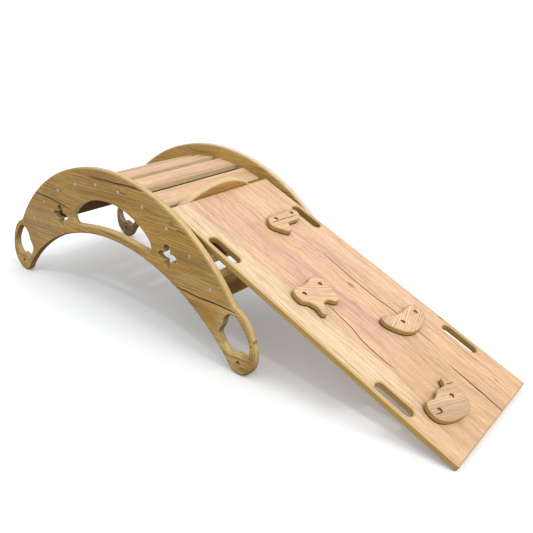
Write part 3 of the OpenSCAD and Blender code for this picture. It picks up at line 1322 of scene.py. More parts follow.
@dataclass(frozen=True)
class Beech:
    """Bare beech rod: pale, with short flecks along the rod, which lies along Y.

    Attributes:
        name: The material's name.
        colour: Its colour.
        fleck: Colour of its flecks and of its darker tones.
        flecks: The flecks' pattern.
        tones: The darker tones'.
    """

    name: str = "beech_rod"
    colour: Colour = (0.62, 0.42, 0.24)
    fleck: Colour = (0.40, 0.22, 0.11)
    flecks: Clouds = Clouds((900.0, 110.0, 900.0))
    tones: Clouds = Clouds((60.0, 12.0, 60.0), detail=2.0, rough=0.5, shift=7.0)

    def material(self) -> bpy.types.Material:
        """Makes the material: flecks and slow darker tones lie over the colour.

        Returns:
            The material.
        """
        tree = Tree(self.name)
        place = tree.node("ShaderNodeTexCoord", ()).outputs["Object"]
        flecks = tree.noise(place, self.flecks)
        tones = tree.noise(place, self.tones)
        wood = tree.mix(tree.span(flecks, (0.5, 0.75), (0.0, 0.7)), self.colour, self.fleck)
        tree.surface({
            "Base Color": tree.mix(tree.span(tones, USUAL, (0.0, 0.35)), wood, self.fleck),
            "Roughness": tree.span(flecks, USUAL, (0.5, 0.66)),
            "Normal": tree.bump(flecks, strength=0.2, distance=0.0004),
        })
        return tree.material


WHITE = (1.0, 1.0, 1.0)
SAP = (0.62, 0.485, 0.31)
MAUVE = (0.53, 0.315, 0.24)
PEACH = (0.64, 0.43, 0.28)
HEART_WOOD = (0.19, 0.105, 0.04)

# painted shade: the shaded copy of the panels' wood, darker than the far panel's lit inner face
PANEL_OAK = Oak(
    name="panel_oak",
    pale=(0.415, 0.257, 0.068),
    warm=(0.305, 0.172, 0.036),
    streak=(0.155, 0.08, 0.022),
    line=(0.026, 0.012, 0.005),
    edge=(0.465, 0.328, 0.158),
    arris=(0.235, 0.15, 0.052),
    bands=0.5,
    year=0.55,
    year_step=7.0,
    fibre=1.3,
    seed=3.0,
    stains=(
        StainOrShadingPatch((-330, 190), (110, 60), (0.31, 0.205, 0.095), 0.7),
        StainOrShadingPatch((-40, 345), (150, 40), HEART_WOOD, 0.3),
        StainOrShadingPatch((-250, 300), (70, 30), HEART_WOOD, 0.5),
        StainOrShadingPatch((235, 335), (90, 30), (0.37, 0.23, 0.075), 0.6),
        StainOrShadingPatch((300, 250), (90, 22), HEART_WOOD, 0.45),
        StainOrShadingPatch((330, 195), (120, 25), (0.40, 0.26, 0.09), 0.6),
        StainOrShadingPatch((430, 80), (70, 110), (0.46, 0.32, 0.13), 0.75),
    ),
    edge_stains_and_painted_shading=(
        # painted shade: the left half of the top rim, which faces away from the light, is darker
        StainOrShadingPatch((-360, 330), (330, 130), (0.36, 0.25, 0.115), 0.8),
        StainOrShadingPatch((440, 95), (42, 58), (0.42, 0.30, 0.14), 0.6),
        StainOrShadingPatch((-440, 95), (42, 58), (0.42, 0.30, 0.14), 0.8),
        StainOrShadingPatch((495, 104), (3, 6), (0.10, 0.055, 0.025), 0.8),
        # painted light: the window's lower wall, which faces up, is brightened
        StainOrShadingPatch((0, 236), (168, 14), (0.74, 0.55, 0.26), 0.95),
        # painted light: the right foot loop's lower wall, which faces up, is brightened
        StainOrShadingPatch((428, 52), (44, 26), (0.70, 0.56, 0.21), 0.95),
    ),
    cracks=(
        Crack(((-372, 282), (-333, 279.8), (-239.7, 273.6), (-156, 263)), 6.0, 1.0),
        Crack(((-66, 380), (17.5, 381.2), (94.9, 384.4), (168, 380)), 5.2, 1.0),
        Crack(((236, 171.4), (328.9, 161.7), (393.4, 163.0), (456, 161)), 5.8, 1.0),
        Crack(((253, 313.7), (270.3, 313.1), (288, 309.5)), 4.4, 0.7),
        Crack(((52, 363.5), (62, 361.5), (75, 359)), 4.6, 0.6),
        Crack(((312, 264), (346.9, 259.8), (380, 249)), 2.4, 0.5),
    ),
    knots=(Knot((240.6, 325.3), 8, 5, 0.8), Knot((47.1, 366.0), 12, 6, 0.5)),
)

# painted light: the lit copy of the panels' wood on the far panel's inner face; its outer face is
# multiplied down to the near panel's painted shade
LIT_INSIDE_FAR_PANEL_OAK = replace(
    PANEL_OAK,
    name="lit_inside_far_panel_oak",
    pale=(0.60, 0.40, 0.13),
    warm=(0.48, 0.31, 0.09),
    streak=(0.25, 0.14, 0.04),
    edge=(0.53, 0.405, 0.285),
    arris=(0.38, 0.275, 0.135),
    seed=41.0,
    outer_shade_tint=(0.72, 0.66, 0.55),
    # partly darker wood and partly painted shade: the far panel's left foot, on its inner face and its
    # edges
    stains=(StainOrShadingPatch((450, 60), (75, 120), (0.095, 0.055, 0.028), 0.92, inner=True),),
    edge_stains_and_painted_shading=(StainOrShadingPatch((450, 70), (75, 110), (0.20, 0.115, 0.085), 0.9),),
    cracks=(),
    knots=(),
)

SLAT_OAK = Oak(
    name="slat_oak",
    pale=(0.60, 0.425, 0.265),
    warm=(0.54, 0.355, 0.22),
    streak=(0.36, 0.205, 0.125),
    line=(0.045, 0.022, 0.013),
    edge=(0.46, 0.34, 0.19),
    arris=(0.46, 0.34, 0.19),
    bands=0.65,
    fibre=0.95,
    heart=(0.0, -120.0),
    seed=19.0,
)

# painted shade: darker tones for the slats in the ramp's shade
SHADED_UNDER_SLAT_OAK = replace(
    SLAT_OAK,
    name="shaded_under_slat_oak",
    pale=(0.46, 0.30, 0.12),
    warm=(0.27, 0.165, 0.062),
    streak=(0.13, 0.07, 0.024),
    bands=0.8,
)

# the lowest slat: painted shade as above, with a paler tone as painted light where light reaches it beside
# the ramp
SHADED_LOWEST_SLAT_OAK = replace(SHADED_UNDER_SLAT_OAK, name="shaded_lowest_slat_oak", pale=(0.60, 0.42, 0.16), seed=23.0)

RAMP_OAK = Oak(
    name="ramp_oak",
    pale=(0.60, 0.405, 0.245),
    warm=(0.545, 0.35, 0.212),
    streak=(0.36, 0.205, 0.145),
    line=(0.045, 0.022, 0.018),
    # painted shade: the routed sides are darker than the face, for the shade on them
    edge=(0.315, 0.20, 0.065),
    arris=(0.53, 0.385, 0.18),
    bands=0.35,
    year=0.36,
    year_step=6.0,
    fibre=1.1,
    heart=(-40.0, -160.0),
    seed=8.0,
    stains=(
        StainOrShadingPatch((300, -150), (620, 42), SAP, 0.85),
        StainOrShadingPatch((150, -50), (260, 48), MAUVE, 0.6),
        StainOrShadingPatch((430, -25), (230, 40), MAUVE, 0.7),
        StainOrShadingPatch((640, 10), (150, 40), MAUVE, 0.4),
        StainOrShadingPatch((270, 60), (120, 32), MAUVE, 0.65),
        StainOrShadingPatch((120, 70), (120, 45), PEACH, 0.8),
        StainOrShadingPatch((420, 140), (330, 40), PEACH, 0.6),
        StainOrShadingPatch((770, -20), (200, 190), (0.49, 0.32, 0.175), 0.75),
        StainOrShadingPatch((720, 130), (170, 50), (0.56, 0.36, 0.21), 0.6),
        StainOrShadingPatch((620, -120), (160, 30), SAP, 0.5),
    ),
    # painted shade on the lower end face and its rounding, which face partly down
    edge_stains_and_painted_shading=(StainOrShadingPatch((856, 0), (14, 400), (0.24, 0.165, 0.10), 0.9),),
    cracks=(
        Crack(((280, 83), (376.5, 73.6), (458.5, 71.5), (541.6, 77.3), (607.5, 77), (680, 64)), 4.4, 0.95),
        Crack(((418, -68), (498.9, -75.8), (571.9, -89.5), (652, -86.5)), 4.4, 0.95),
        Crack(((700, 51), (790.3, 46.8), (880, 42.5)), 5.6, 1.0),
        Crack(((4, -65.8), (38.1, -61.2), (78, -63)), 2.2, 0.6),
        Crack(((50, -154), (80.3, -154.1), (109, -156.5)), 2.2, 0.6),
    ),
    knots=(
        Knot((414.8, 47.2), 14, 7, 0.6),
        Knot((613.6, 179.7), 10, 6, 0.6),
        Knot((803.4, 118.7), 7, 4, 0.35),
    ),
)

CLEAR_OAK = replace(RAMP_OAK, stains=(), edge_stains_and_painted_shading=(), cracks=(), knots=())

HOOK_OAK = replace(
    CLEAR_OAK,
    name="hook_oak",
    pale=(0.44, 0.26, 0.08),
    warm=(0.33, 0.18, 0.048),
    streak=(0.20, 0.10, 0.03),
    edge=(0.50, 0.365, 0.20),
    arris=(0.47, 0.335, 0.17),
    bands=0.4,
    seed=27.0,
)

HOLD_OAK = replace(
    CLEAR_OAK,
    name="hold_oak",
    pale=(0.65, 0.455, 0.275),
    warm=(0.57, 0.375, 0.225),
    streak=(0.33, 0.19, 0.13),
    # painted shade: the side walls are darker than the face, for the shade on them
    edge=(0.31, 0.205, 0.07),
    arris=(0.44, 0.315, 0.14),
    year=0.7,
    year_step=4.5,
    heart=(0.0, -60.0),
    seed=33.0,
)

ZINC = Zinc()
WARM_ZINC = Zinc("warm_zinc_plate", colour=(0.46, 0.39, 0.27), dull=(0.24, 0.19, 0.12), rough=0.42)
BEECH = Beech()


# ---------------------------------------------------------------- sub-assemblies


@cache
def oiled(finish: Oak) -> bpy.types.Material:
    """The material of a finish, made once."""
    return finish.material()


def dress(piece: Piece, finish: Oak, body: Body, slot: Slot, *nodes: str) -> None:
    """Gives a piece its finish and says what it stands for.

    Args:
        piece: The piece.
        finish: Its finish.
        body: What it moves with.
        slot: The record's slot for its finish; not used.
        nodes: The frame's nodes that it replaces.
    """
    piece.data.materials.append(oiled(finish))
    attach(piece, body.value)
    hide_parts(*nodes)


@dataclass
class SidePanels:
    """The two curved side panels, with their windows, flowers, foot loops and foot holes.

    Attributes:
        layout: The sizes that boards share.
        spacing: Distance between the points of the outlines.
        arc_points: Points on each long arc, before they are spaced evenly.
        ease: How many rounds the outline's corners are eased.
        arris: Radius of the outline's and the foot loops' rounded edges.
        window_arris, flower_arris, hole_arris: The same for the other openings.
        window_shade_side, flower_shade_side: Where their walls get the most painted shade.
        painted_wall_shade: Strength of the painted shade on the walls of the outline and the openings.
        inset: How far the outer edge is drawn in, so that it stays inside the solid's facets.
        foot_hole, foot_hole_r: Middle and radius of a foot hole.
        flower: Middle of a flower.
        flower_r, flower_lobe, flower_blunt: Sizes of its edge, as openings() says.
        flower_points: Points on its edge.
        neck_reach: How far from the middle the outer arc ends and the foot begins.
        toe: Points down round the right foot, from the outer arc to the arc under the arch.
        foot_loop: Points round the right foot's loop.
        window_half: Points round the right half of the window.
    """

    layout: Layout
    spacing: float = 3.0
    arc_points: int = 400
    ease: int = 3
    arris: float = 3.2
    window_arris: float = 2.2
    window_shade_side: Point = (0.0, 0.4)
    flower_arris: float = 1.1
    hole_arris: float = 0.8
    painted_wall_shade: float = 0.9
    inset: float = 0.15
    foot_hole_r: float = 5.0
    foot_hole: Point = (450.0, 32.0)
    flower: Point = (219.0, 234.5)
    flower_r: float = 24.5
    flower_lobe: float = 8.5
    flower_blunt: float = 1.0
    flower_points: int = 96
    flower_shade_side: Point = (-0.15, 1.7)
    neck_reach: float = 430.0
    toe: tuple[Point, ...] = (
        (435, 171), (455, 161), (473, 143), (488, 116), (498, 88), (501, 64),
        (498, 40), (488, 21), (469, 5), (450, 0), (431, 5), (419, 17), (406, 37),
    )
    foot_loop: tuple[Point, ...] = (
        (425, 150), (441, 149), (457, 134), (470, 116), (481, 95), (482, 72), (469, 53),
        (448, 57), (423, 48), (407, 63), (391, 90), (402, 115), (409, 137),
    )
    window_half: tuple[Point, ...] = (
        (0, 323), (52, 317), (104, 298), (142, 273), (160, 249), (151, 230), (118, 233), (60, 241),
        (0, 244),
    )

    def outline(self) -> Array:
        """The panel's outline: the outer arc, a foot, the arc under the arch, the other foot.

        A point of an arc is the centre plus the radius times (sin a, cos a), with a the turn
        from straight up. The foot ends where it meets the arc under the arch.

        Returns:
            The outline's points, (n, 2).
        """
        lay = self.layout
        toe = smooth_row(self.toe)
        under = np.array([0.0, -lay.under_drop])
        inside = np.linalg.norm(toe - under, axis=1) < lay.under_r
        toe = toe[: np.flatnonzero(inside)[-1] + 1]
        neck = math.asin(self.neck_reach / lay.arch_r)
        root = math.asin(toe[-1][0] / lay.under_r)
        over = np.linspace(-neck, neck, self.arc_points)
        back = np.linspace(root, -root, self.arc_points)[1:-1]
        reach = lay.arch_r - self.inset
        outer = np.column_stack([np.sin(over), np.cos(over)]) * reach - [0.0, lay.arch_drop]
        inner = np.column_stack([np.sin(back), np.cos(back)]) * lay.under_r + under
        loop = np.vstack([outer, toe, inner, toe[::-1] * [-1, 1]])
        return eased(even(loop, self.spacing), self.ease)

    def openings(self) -> list[Cut]:
        """The window, and on each side a foot loop, a foot hole and a flower.

        A flower's edge lies at r + lobe cos(4 a) - blunt cos(8 a) from its middle at turn a.

        Returns:
            The cuts.
        """
        half = list(self.window_half)
        window = smooth_ring(half + [(-x, z) for x, z in half[-2:0:-1]])
        cuts = [Cut(even(window, self.spacing), self.window_arris, shade_side=self.window_shade_side, all_round_shade=0.0)]
        turn = np.linspace(0, 2 * math.pi, self.flower_points, endpoint=False)
        lobes = self.flower_lobe * np.cos(4 * turn) - self.flower_blunt * np.cos(8 * turn)
        reach = self.flower_r + lobes
        flower = np.array(self.flower) + reach[:, None] * np.column_stack([np.cos(turn), np.sin(turn)])
        for side in (-1, 1):
            mirror = np.array([side, 1.0])
            cuts.append(Cut(even(smooth_ring(self.foot_loop), self.spacing) * mirror, self.arris))
            # the foot hole's wall gets painted shade all round
            cuts.append(Cut(circle(self.foot_hole, self.foot_hole_r) * mirror, self.hole_arris, all_round_shade=1.0))
            cuts.append(Cut(flower * mirror, self.flower_arris, shade_side=self.flower_shade_side))
        return cuts

    def screw_seats(self) -> list[Cut]:
        """The pockets of the slats' screws, on an arc a little under the slats' tops.

        Returns:
            The pockets, from slat 1 on.
        """
        lay = self.layout
        turns = [lay.slat_turn(k) for k in range(1, lay.slat_count + 1)]
        r = lay.slat_top_r - lay.slat_screw_down
        return [screw_seat((r * math.sin(t), r * math.cos(t) - lay.arch_drop)) for t in turns]

    def make(self) -> None:
        """Makes both panels."""
        lay = self.layout
        sides = ((-1, "near_side_panel", PANEL_OAK), (1, "far_side_panel", LIT_INSIDE_FAR_PANEL_OAK))
        for side, name, finish in sides:
            board = Board(
                name + "_board",
                Seat(side * lay.inner_w / 2 * Y_WAY - lay.middle, -side * X_WAY, Z_WAY),
                lay.board_t,
                Cut(self.outline(), self.arris),
                self.openings(),
                self.screw_seats(),
                painted_wall_shade=self.painted_wall_shade,
            )
            dress(board.build(), finish, Body.ARCH, Slot.PANEL, name)


@dataclass
class Slats:
    """The ten slats, bars with rounded corners, whose grain runs from panel to panel.

    Attributes:
        layout: The sizes that boards share.
        corner: Radius of the section's corners.
        side_share: The part of that radius, from outside, which counts as the narrow side.
        end_arris: Radius of the rounding at the bar's two ends.
        end_steps: Straight pieces in it.
        painted_shade_depths: How far under the top the painted shade on a narrow side begins, and is full.
        plank_step: Distance along the plank from one slat's wood to the next one's.
        plank_rows: How many rows of slats the plank is wide.
        row_step, row_start: Distance between those rows, and the place of the first.
    """

    layout: Layout
    corner: float = 1.5
    side_share: float = 0.6
    end_arris: float = 0.3
    end_steps: int = 2
    painted_shade_depths: tuple[float, float] = (12.5, 15.0)
    plank_step: float = 1370.0
    plank_rows: int = 4
    row_step: float = 71.0
    row_start: float = -90.0

    def make(self) -> None:
        """Makes the slats."""
        lay, profile = self.layout, self.section()
        for k in range(1, lay.slat_count + 1):
            turn = lay.slat_turn(k)
            along = math.cos(turn) * X_WAY - math.sin(turn) * Z_WAY
            out = math.sin(turn) * X_WAY + math.cos(turn) * Z_WAY
            middle = out * (lay.slat_top_r - lay.slat_t / 2)
            origin = middle + [0.0, lay.inner_w / 2, -lay.arch_drop] - lay.middle
            row = self.row_step * (k % self.plank_rows) + self.row_start
            board = Board(
                f"slat_{k}_bar",
                Seat(origin, along, out),
                lay.inner_w,
                Cut(profile, self.end_arris),
                grain=Grain(lengthwise=True, shift=(self.plank_step * k, row, 0.0)),
                steps=self.end_steps,
            )
            piece = board.build()
            self.mark_sides_and_paint_shade(piece, profile)
            dress(piece, self.finish(k), Body.ARCH, Slot.SLAT, f"slat_{k}")

    def finish(self, k: int) -> Oak:
        """The finish of a slat: under the ramp, darker tones as painted shade, and the lowest slat apart
        with a paler tone as painted light.

        Args:
            k: The slat, counted from 1 at the left foot.

        Returns:
            Its finish.
        """
        if k == self.layout.slat_count:
            return SHADED_LOWEST_SLAT_OAK
        return SLAT_OAK if k < self.layout.rest_slat else SHADED_UNDER_SLAT_OAK

    def section(self) -> Array:
        """The bar's section: a rectangle with round corners.

        Each narrow side has two more points, between which its painted shade deepens.

        Returns:
            The section's points, (n, 2).
        """
        corners = round_rect(self.layout.slat_w, self.layout.slat_t, self.corner)
        half, top = self.layout.slat_w / 2, self.layout.slat_t / 2
        right = np.array([[half, top - down] for down in self.painted_shade_depths[::-1]])
        split = len(corners) // 2
        return np.vstack([corners[:split], right[::-1] * [-1, 1], corners[split:], right])

    def mark_sides_and_paint_shade(self, piece: Piece, profile: Array) -> None:
        """Marks the narrow sides as worked edges whose painted shade deepens downwards, and paints shade
        over the underside.

        A side's painted shade is the depth under the top less the first painted shade depth,
        over the distance between the two, kept between 0 and 1.

        Args:
            piece: The bar.
            profile: Its section, whose rings follow each other in the mesh.
        """
        section = wound(profile)
        side = np.abs(section[:, 0]) > self.layout.slat_w / 2 - self.corner * self.side_share
        under = section[:, 1] < -self.layout.slat_t / 2 + self.corner
        start, full = self.painted_shade_depths
        low = np.clip((self.layout.slat_t / 2 - section[:, 1] - start) / (full - start), 0.0, 1.0)
        count = len(piece.data.vertices)
        worked = np.zeros((count, 3), np.float32)
        worked[:, 0] = np.resize(side.astype(float), count)
        # painted shade: full on the underside, deepening down the narrow sides
        worked[:, 2] = np.resize(np.where(under, 1.0, low * side), count)
        piece.data.attributes["worked"].data.foreach_set("vector", worked.ravel())


@dataclass
class Ramp:
    """The ramp board with its four hand slots.

    Attributes:
        layout: The sizes that boards share.
        corner: Radius of the board's corners, seen from above.
        arris: Radius of its rounded edges.
        slot_l, slot_w: Length and width of a hand slot.
        slot_rim: Wood between a slot and the board's side.
        slot_rows: How far down the ramp the two rows of slots lie.
        spacing: Distance between the points of a slot's outline.
        end_points: Points on each round end, before they are spaced evenly.
    """

    layout: Layout
    corner: float = 6.0
    arris: float = 3.2
    slot_l: float = 96.0
    slot_w: float = 27.0
    slot_rim: float = 10.5
    slot_rows: tuple[float, float] = (176.0, 680.0)
    spacing: float = 2.5
    end_points: int = 24

    def hand_slot(self) -> Array:
        """A long hole round the origin, whose ends are half circles.

        Returns:
            The hole's points, (n, 2).
        """
        half, r = (self.slot_l - self.slot_w) / 2, self.slot_w / 2
        turn = np.linspace(-math.pi / 2, math.pi / 2, self.end_points)
        end = np.column_stack([np.cos(turn), np.sin(turn)]) * r + [half, 0.0]
        return even(np.vstack([end, -end]), self.spacing)

    def make(self) -> None:
        """Makes the ramp board."""
        lay = self.layout
        seat = Seat(lay.ramp_top - lay.board_t * lay.face - lay.middle, lay.down, Y_WAY)
        outline = round_rect(lay.ramp_l, lay.ramp_w, self.corner) + [lay.ramp_l / 2, 0.0]
        across = lay.ramp_w / 2 - self.slot_rim - self.slot_w / 2
        slots = [
            Cut(self.hand_slot() + [row, side * across], self.arris)
            for row in self.slot_rows
            for side in (-1, 1)
        ]
        board = Board("ramp_plank", seat, lay.board_t, Cut(outline, self.arris), slots)
        dress(board.build(), RAMP_OAK, Body.RAMP, Slot.RAMP, "ramp_board")


@dataclass
class HookBoard:
    """The board across the ramp's top end, with its arched top and its lower part in the gap.

    Attributes:
        layout: The sizes that boards share.
        rise: How far its top stands over the ramp's face.
        drop: How far its lower edge lies under that face.
        radius: Radius of the arched top.
        width: Its width.
        arris: Radius of its rounded edges.
        screw_ys: Where its screws are, across the ramp.
        spacing: Distance between the points of its outline.
        arc_points: Points on the arched top, before they are spaced evenly.
        ease: How many rounds the outline's corners are eased.
        plank_shift: Where in the plank it was cut.
    """

    layout: Layout
    rise: float = 32.0
    drop: float = 63.0
    radius: float = 208.0
    width: float = 340.0
    arris: float = 3.0
    screw_ys: tuple[float, ...] = (-100.0, -35.0, 35.0, 100.0)
    spacing: float = 2.5
    arc_points: int = 160
    ease: int = 4
    plank_shift: tuple[float, float, float] = (40.0, 15.0, 0.0)

    def outline(self) -> Array:
        """The arched top, a circle's arc, over the straight lower edge.

        Returns:
            The outline's points, (n, 2), across the ramp and off its face.
        """
        reach = math.asin(self.width / 2 / self.radius)
        turn = np.linspace(reach, -reach, self.arc_points)
        arc = np.column_stack([np.sin(turn), np.cos(turn)]) * self.radius
        arc = arc + [0.0, self.rise - self.radius]
        low = np.array([[-self.width / 2, -self.drop], [self.width / 2, -self.drop]])
        return eased(even(np.vstack([arc, low]), self.spacing), self.ease)

    def make(self) -> None:
        """Makes the hook board."""
        lay = self.layout
        board = Board(
            "hook_crosspiece",
            Seat(lay.ramp_top - lay.middle, -Y_WAY, lay.face),
            lay.board_t,
            Cut(self.outline(), self.arris),
            pockets=[screw_seat((y, -lay.board_t / 2)) for y in self.screw_ys],
            grain=Grain(shift=self.plank_shift),
        )
        dress(board.build(), HOOK_OAK, Body.RAMP, Slot.HOOK, "hook_board")


@dataclass(frozen=True)
class HoldShape:
    """One climbing hold, in the ramp's own sizes: down the ramp and across it.

    Attributes:
        name: The frame's node.
        outline: Points of its outline.
        screws: The places of its two screws.
        grain_turn: Turn of its grain from straight down the ramp, in degrees.
        splits: The lines of its cracks, which run about along its grain.
        shade: How bright its wood is beside the others'.
    """

    name: str
    outline: tuple[Point, ...]
    screws: tuple[Point, Point]
    grain_turn: float
    splits: tuple[tuple[Point, ...], ...] = ()
    shade: float = 1.0


@dataclass
class Holds:
    """The four flat climbing holds, each with two sunk screws.

    Attributes:
        layout: The sizes that boards share.
        thickness: A hold's thickness.
        spacing: Distance between the points of its outline.
        arris: Radius of its rounded edges.
        recess_r, recess_depth, recess_arris: Sizes of the recess round a screw.
        crack_w: Width of its cracks.
        crack_dark: How dark they are.
        contact_shade: Strength of the painted contact shadow at its foot, where it lies on the ramp.
        plank_step, row_step: How far apart two holds were cut, along their planks and across.
        seed_step: How far the patterns of two holds' finishes lie apart.
        shapes: The four shapes.
    """

    layout: Layout
    thickness: float = 15.0
    spacing: float = 2.0
    arris: float = 2.2
    recess_r: float = 5.5
    recess_depth: float = 4.0
    recess_arris: float = 0.5
    crack_w: float = 4.2
    crack_dark: float = 0.85
    contact_shade: float = 1.0
    plank_step: float = 211.0
    row_step: float = 60.0
    seed_step: float = 7.0
    shapes: tuple[HoldShape, ...] = (
        HoldShape(
            "boot_hold",
            (
                (137, 42), (138, 70), (142, 98), (148, 124), (163, 130), (179, 121), (185, 104), (183, 84),
                (184, 66), (196, 58), (209, 50), (209, 37), (190, 20), (170, 10), (149, 21),
            ),
            screws=((157, 44), (158, 108)),
            grain_turn=86.0,
            splits=(((164.7, 16.9), (168.0, 68.0), (171.6, 118.4)),),
        ),
        HoldShape(
            "bone_hold",
            (
                (357, -119), (361, -96), (359, -70), (352, -52), (357, -34), (373, -26), (394, -26),
                (418, -33), (439, -44), (438, -59), (426, -72), (427, -90), (442, -99), (453, -111),
                (446, -121), (426, -117), (408, -123), (393, -136), (369, -133),
            ),
            screws=((382, -111), (380, -47)),
            grain_turn=60.0,
        ),
        HoldShape(
            "pebble_hold",
            (
                (529, 9), (539, 34), (547, 62), (546, 94), (546, 120), (560, 135), (580, 132), (596, 109),
                (605, 78), (604, 46), (591, 22), (566, 5), (543, -1),
            ),
            screws=((569, 46), (568, 110)),
            grain_turn=105.0,
        ),
        HoldShape(
            "leaf_hold",
            (
                (730, -120), (730, -108), (735, -95), (733, -81), (727, -66), (729, -53), (731, -40),
                (724, -32), (716, -26), (729, -14), (744, -11), (759, -18), (776, -20), (794, -29),
                (802, -50), (800, -77), (792, -104), (781, -124), (768, -134), (753, -135), (738, -130),
            ),
            screws=((758, -111), (756, -49)),
            grain_turn=68.0,
            splits=(
                ((731.4, -34.0), (736.5, -21.0), (741.2, -9.8)),
                ((758.3, -132.3), (762.5, -119.0), (766.9, -106.6)),
            ),
            shade=0.86,
        ),
    )

    def make(self) -> None:
        """Makes the holds."""
        lay = self.layout
        for i, shape in enumerate(self.shapes):
            grain = Grain(shape.grain_turn, shift=(self.plank_step * i, self.row_step * i, 0.0))
            board = Board(
                shape.name + "_block",
                Seat(lay.ramp_top - lay.middle, lay.down, Y_WAY),
                self.thickness,
                Cut(even(smooth_ring(shape.outline), self.spacing), self.arris),
                pockets=[self.recess(place) for place in shape.screws],
                grain=grain,
                contact_shade=self.contact_shade,
            )
            finish = self.finish(shape, grain, HOLD_OAK.seed + self.seed_step * i)
            dress(board.build(), finish, Body.RAMP, Slot.HOLD, shape.name)

    def recess(self, place: Point) -> Cut:
        """The round pocket about a hold's screw."""
        return Cut(circle(place, self.recess_r), self.recess_arris, self.recess_depth)

    def finish(self, shape: HoldShape, grain: Grain, seed: float) -> Oak:
        """A hold's own finish: its wood times its shade, and its cracks.

        Args:
            shape: The hold.
            grain: How its figure lies.
            seed: Moves the patterns.

        Returns:
            The finish.
        """
        return replace(
            HOLD_OAK,
            name=shape.name + "_oak",
            pale=tuple(shape.shade * v for v in HOLD_OAK.pale),
            warm=tuple(shape.shade * v for v in HOLD_OAK.warm),
            seed=seed,
            cracks=tuple(self.crack(line, grain) for line in shape.splits),
        )

    def crack(self, line: tuple[Point, ...], grain: Grain) -> Crack:
        """A hold's crack, carried from the ramp's sizes to places in the hold's plank.

        Args:
            line: The crack's points, down the ramp and across it.
            grain: How the hold's figure lies.

        Returns:
            The crack, whose points follow each other along the grain.
        """
        plank = grain.read(np.column_stack([line, np.zeros(len(line))])) / GRAIN_UNIT
        path = sorted((float(x), float(y)) for x, y, _ in plank)
        return Crack(tuple(path), self.crack_w, self.crack_dark)


@dataclass
class Fasteners:
    """Screws and dowels, which keep the frame's own shapes.

    Attributes:
        screws: The nodes of the grey screws.
        hold_screws: Those of the yellowish ones.
        dowels: Those of the dowels.
    """

    screws: tuple[str, ...] = ("near_panel_screws", "far_panel_screws", "hook_board_screws")
    hold_screws: tuple[str, ...] = ("hold_screws",)
    dowels: tuple[str, ...] = ("near_slat_dowels", "far_slat_dowels")

    def make(self) -> None:
        """Gives each its finish."""
        for names, finish in ((self.screws, ZINC), (self.hold_screws, WARM_ZINC), (self.dowels, BEECH)):
            material = finish.material()
            for name in names:
                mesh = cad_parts[name].data
                mesh.materials.clear()
                mesh.materials.append(material)
                LOG.info("%s: %s", name, finish.name)


# ---------------------------------------------------------------- studio


def stand(
    name: str, data: bpy.types.ID, sides: Sequence[Array], place: Array
) -> bpy.types.Object:
    """Stands a camera or a lamp in the scene.

    The columns of its turn are the directions in which its own X, Y and Z point.

    Args:
        name: Its name.
        data: The camera or the lamp.
        sides: Those three directions.
        place: Where it stands, in metres.

    Returns:
        The object.
    """
    thing = shown(name, data)
    turn = Matrix(np.column_stack(sides).tolist()).to_4x4()
    turn.translation = place.tolist()
    thing.matrix_world = turn
    return thing


@dataclass
class PhotoCamera:
    """A camera that stands where the photograph was taken.

    Attributes:
        layout: The sizes that boards share.
        focal: Focal length in pixels of the picture.
        picture: Width of the picture in pixels.
        sensor: Width of the sensor, in millimetres.
        azimuth: Turn of the way back to the camera from -Y towards +X, in degrees.
        elevation: How far it looks down, in degrees.
        roll: How far it leans, in degrees.
        place: Where it stands, from the arch's middle on the floor, in millimetres.
    """

    layout: Layout
    focal: float = 621.75
    picture: float = 533.0
    sensor: float = 36.0
    azimuth: float = 38.431
    elevation: float = 23.804
    roll: float = 1.778
    place: tuple[float, float, float] = (1266.6, -1144.6, 827.8)

    def make(self) -> None:
        """Makes the camera.

        It looks along its own -Z. The way back from what it sees to where it stands is
        (sin a cos e, -cos a cos e, sin e), with a its azimuth and e its elevation, and its roll
        turns its two other sides about that.
        """
        a, e, r = (math.radians(v) for v in (self.azimuth, self.elevation, self.roll))
        back = np.array([math.sin(a) * math.cos(e), -math.cos(a) * math.cos(e), math.sin(e)])
        right = np.cross(-back, Z_WAY)
        right = right / np.linalg.norm(right)
        up = np.cross(right, -back)
        side = math.cos(r) * right + math.sin(r) * up
        top = -math.sin(r) * right + math.cos(r) * up
        data = bpy.data.cameras.new("photo_camera")
        data.sensor_fit, data.sensor_width = "HORIZONTAL", self.sensor
        data.lens = self.focal / self.picture * self.sensor
        place = (np.array(self.place) - self.layout.middle) * MM
        bpy.context.scene.camera = stand("photo_camera", data, (side, top, back), place)
        LOG.info("camera: %.2f mm lens", data.lens)


@dataclass(frozen=True)
class Lamp:
    """A lamp so far away that its light falls in one direction.

    Attributes:
        name: Its name.
        power: Light that falls square on a surface, in watts on a square metre.
        spread: Angle under which the lamp is seen, in degrees; wider is softer.
        side: Where the lamp stands: towards +X, +Y and +Z.
        away: How far off it is drawn, in metres, which changes nothing.
    """

    name: str
    power: float
    spread: float
    side: tuple[float, float, float]
    away: float = 3.0

    def make(self) -> None:
        """Makes the lamp, which shines along its own -Z."""
        data = bpy.data.lights.new(self.name, "SUN")
        data.energy, data.angle = self.power, math.radians(self.spread)
        back = np.array(self.side) / np.linalg.norm(self.side)
        right = np.cross(Y_WAY, back)
        right = right / np.linalg.norm(right)
        stand(self.name, data, (right, np.cross(back, right), back), back * self.away)


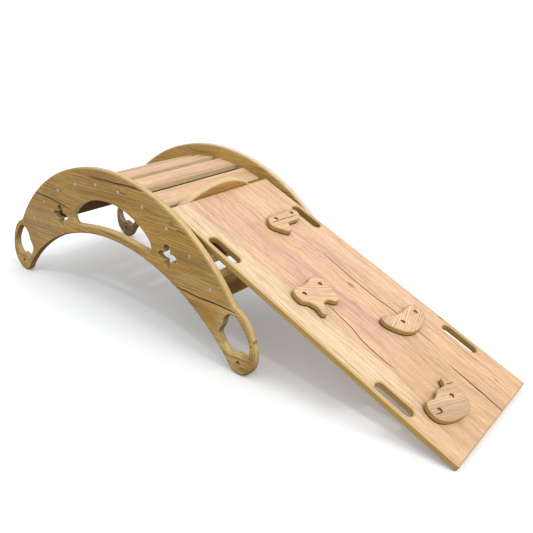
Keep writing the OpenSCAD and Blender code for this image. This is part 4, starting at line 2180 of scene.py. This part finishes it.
@dataclass
class Studio:
    """A plain white floor, an even white surround, a large soft lamp and a small weak one.

    Attributes:
        floor_half: Half the width of the level floor, in metres.
        floor_rise: How far it rises beyond that, so that no horizon shows, in metres.
        floor_tone: The floor's colour.
        floor_glow: How much light the floor gives off, which keeps its shadows open.
        floor_rough: Its roughness.
        surround: Strength of the white surround.
        lamps: The lamps.
    """

    floor_half: float = 30.0
    floor_rise: float = 4.0
    floor_tone: Colour = (0.659, 0.672, 0.682)
    floor_glow: float = 0.115
    floor_rough: float = 0.9
    surround: float = 1.15
    lamps: tuple[Lamp, ...] = (
        Lamp("soft_lamp", power=1.55, spread=26.0, side=(0.68, 0.03, 0.73)),
        Lamp("small_lamp", power=0.42, spread=4.0, side=(0.47, -0.42, 1.0)),
    )

    def make(self) -> None:
        """Makes the floor, the surround and the lamps."""
        self.make_floor()
        self.make_surround()
        for lamp in self.lamps:
            lamp.make()
        bpy.context.scene.view_settings.view_transform = "Standard"

    def make_floor(self) -> None:
        """Makes the floor: a level square, whose sides rise outwards to four far corners."""
        corners = ((-1, -1), (1, -1), (1, 1), (-1, 1))
        rings = ((self.floor_half, 0.0), (4 * self.floor_half, self.floor_rise))
        points = [(x * half, y * half, z) for half, z in rings for x, y in corners]
        sides = [(i, (i + 1) % 4, (i + 1) % 4 + 4, i + 4) for i in range(4)]
        mesh = bpy.data.meshes.new("studio_floor")
        mesh.from_pydata(points, [], [(0, 1, 2, 3)] + [side[::-1] for side in sides])
        tree = Tree("studio_floor")
        tree.surface({
            "Base Color": self.floor_tone,
            "Emission Color": WHITE,
            "Emission Strength": self.floor_glow,
            "Roughness": self.floor_rough,
            "Specular IOR Level": 0.0,
        })
        mesh.materials.append(tree.material)
        shown("studio_floor", mesh)

    def make_surround(self) -> None:
        """Makes the white surround."""
        world = bpy.data.worlds.new("studio_surround")
        world.use_nodes = True
        inputs = world.node_tree.nodes["Background"].inputs
        inputs["Color"].default_value = (*WHITE, 1.0)
        inputs["Strength"].default_value = self.surround
        bpy.context.scene.world = world


def main() -> None:
    """Makes the arch, the ramp, their fasteners and the studio."""
    logging.basicConfig(level=logging.INFO, format="%(name)s %(message)s")
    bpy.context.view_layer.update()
    layout = Layout()
    parts = (
        SidePanels(layout),
        Slats(layout),
        Ramp(layout),
        HookBoard(layout),
        Holds(layout),
        Fasteners(),
        PhotoCamera(layout),
        Studio(),
    )
    for part in parts:
        part.make()


if __name__ == "__main__":
    main()
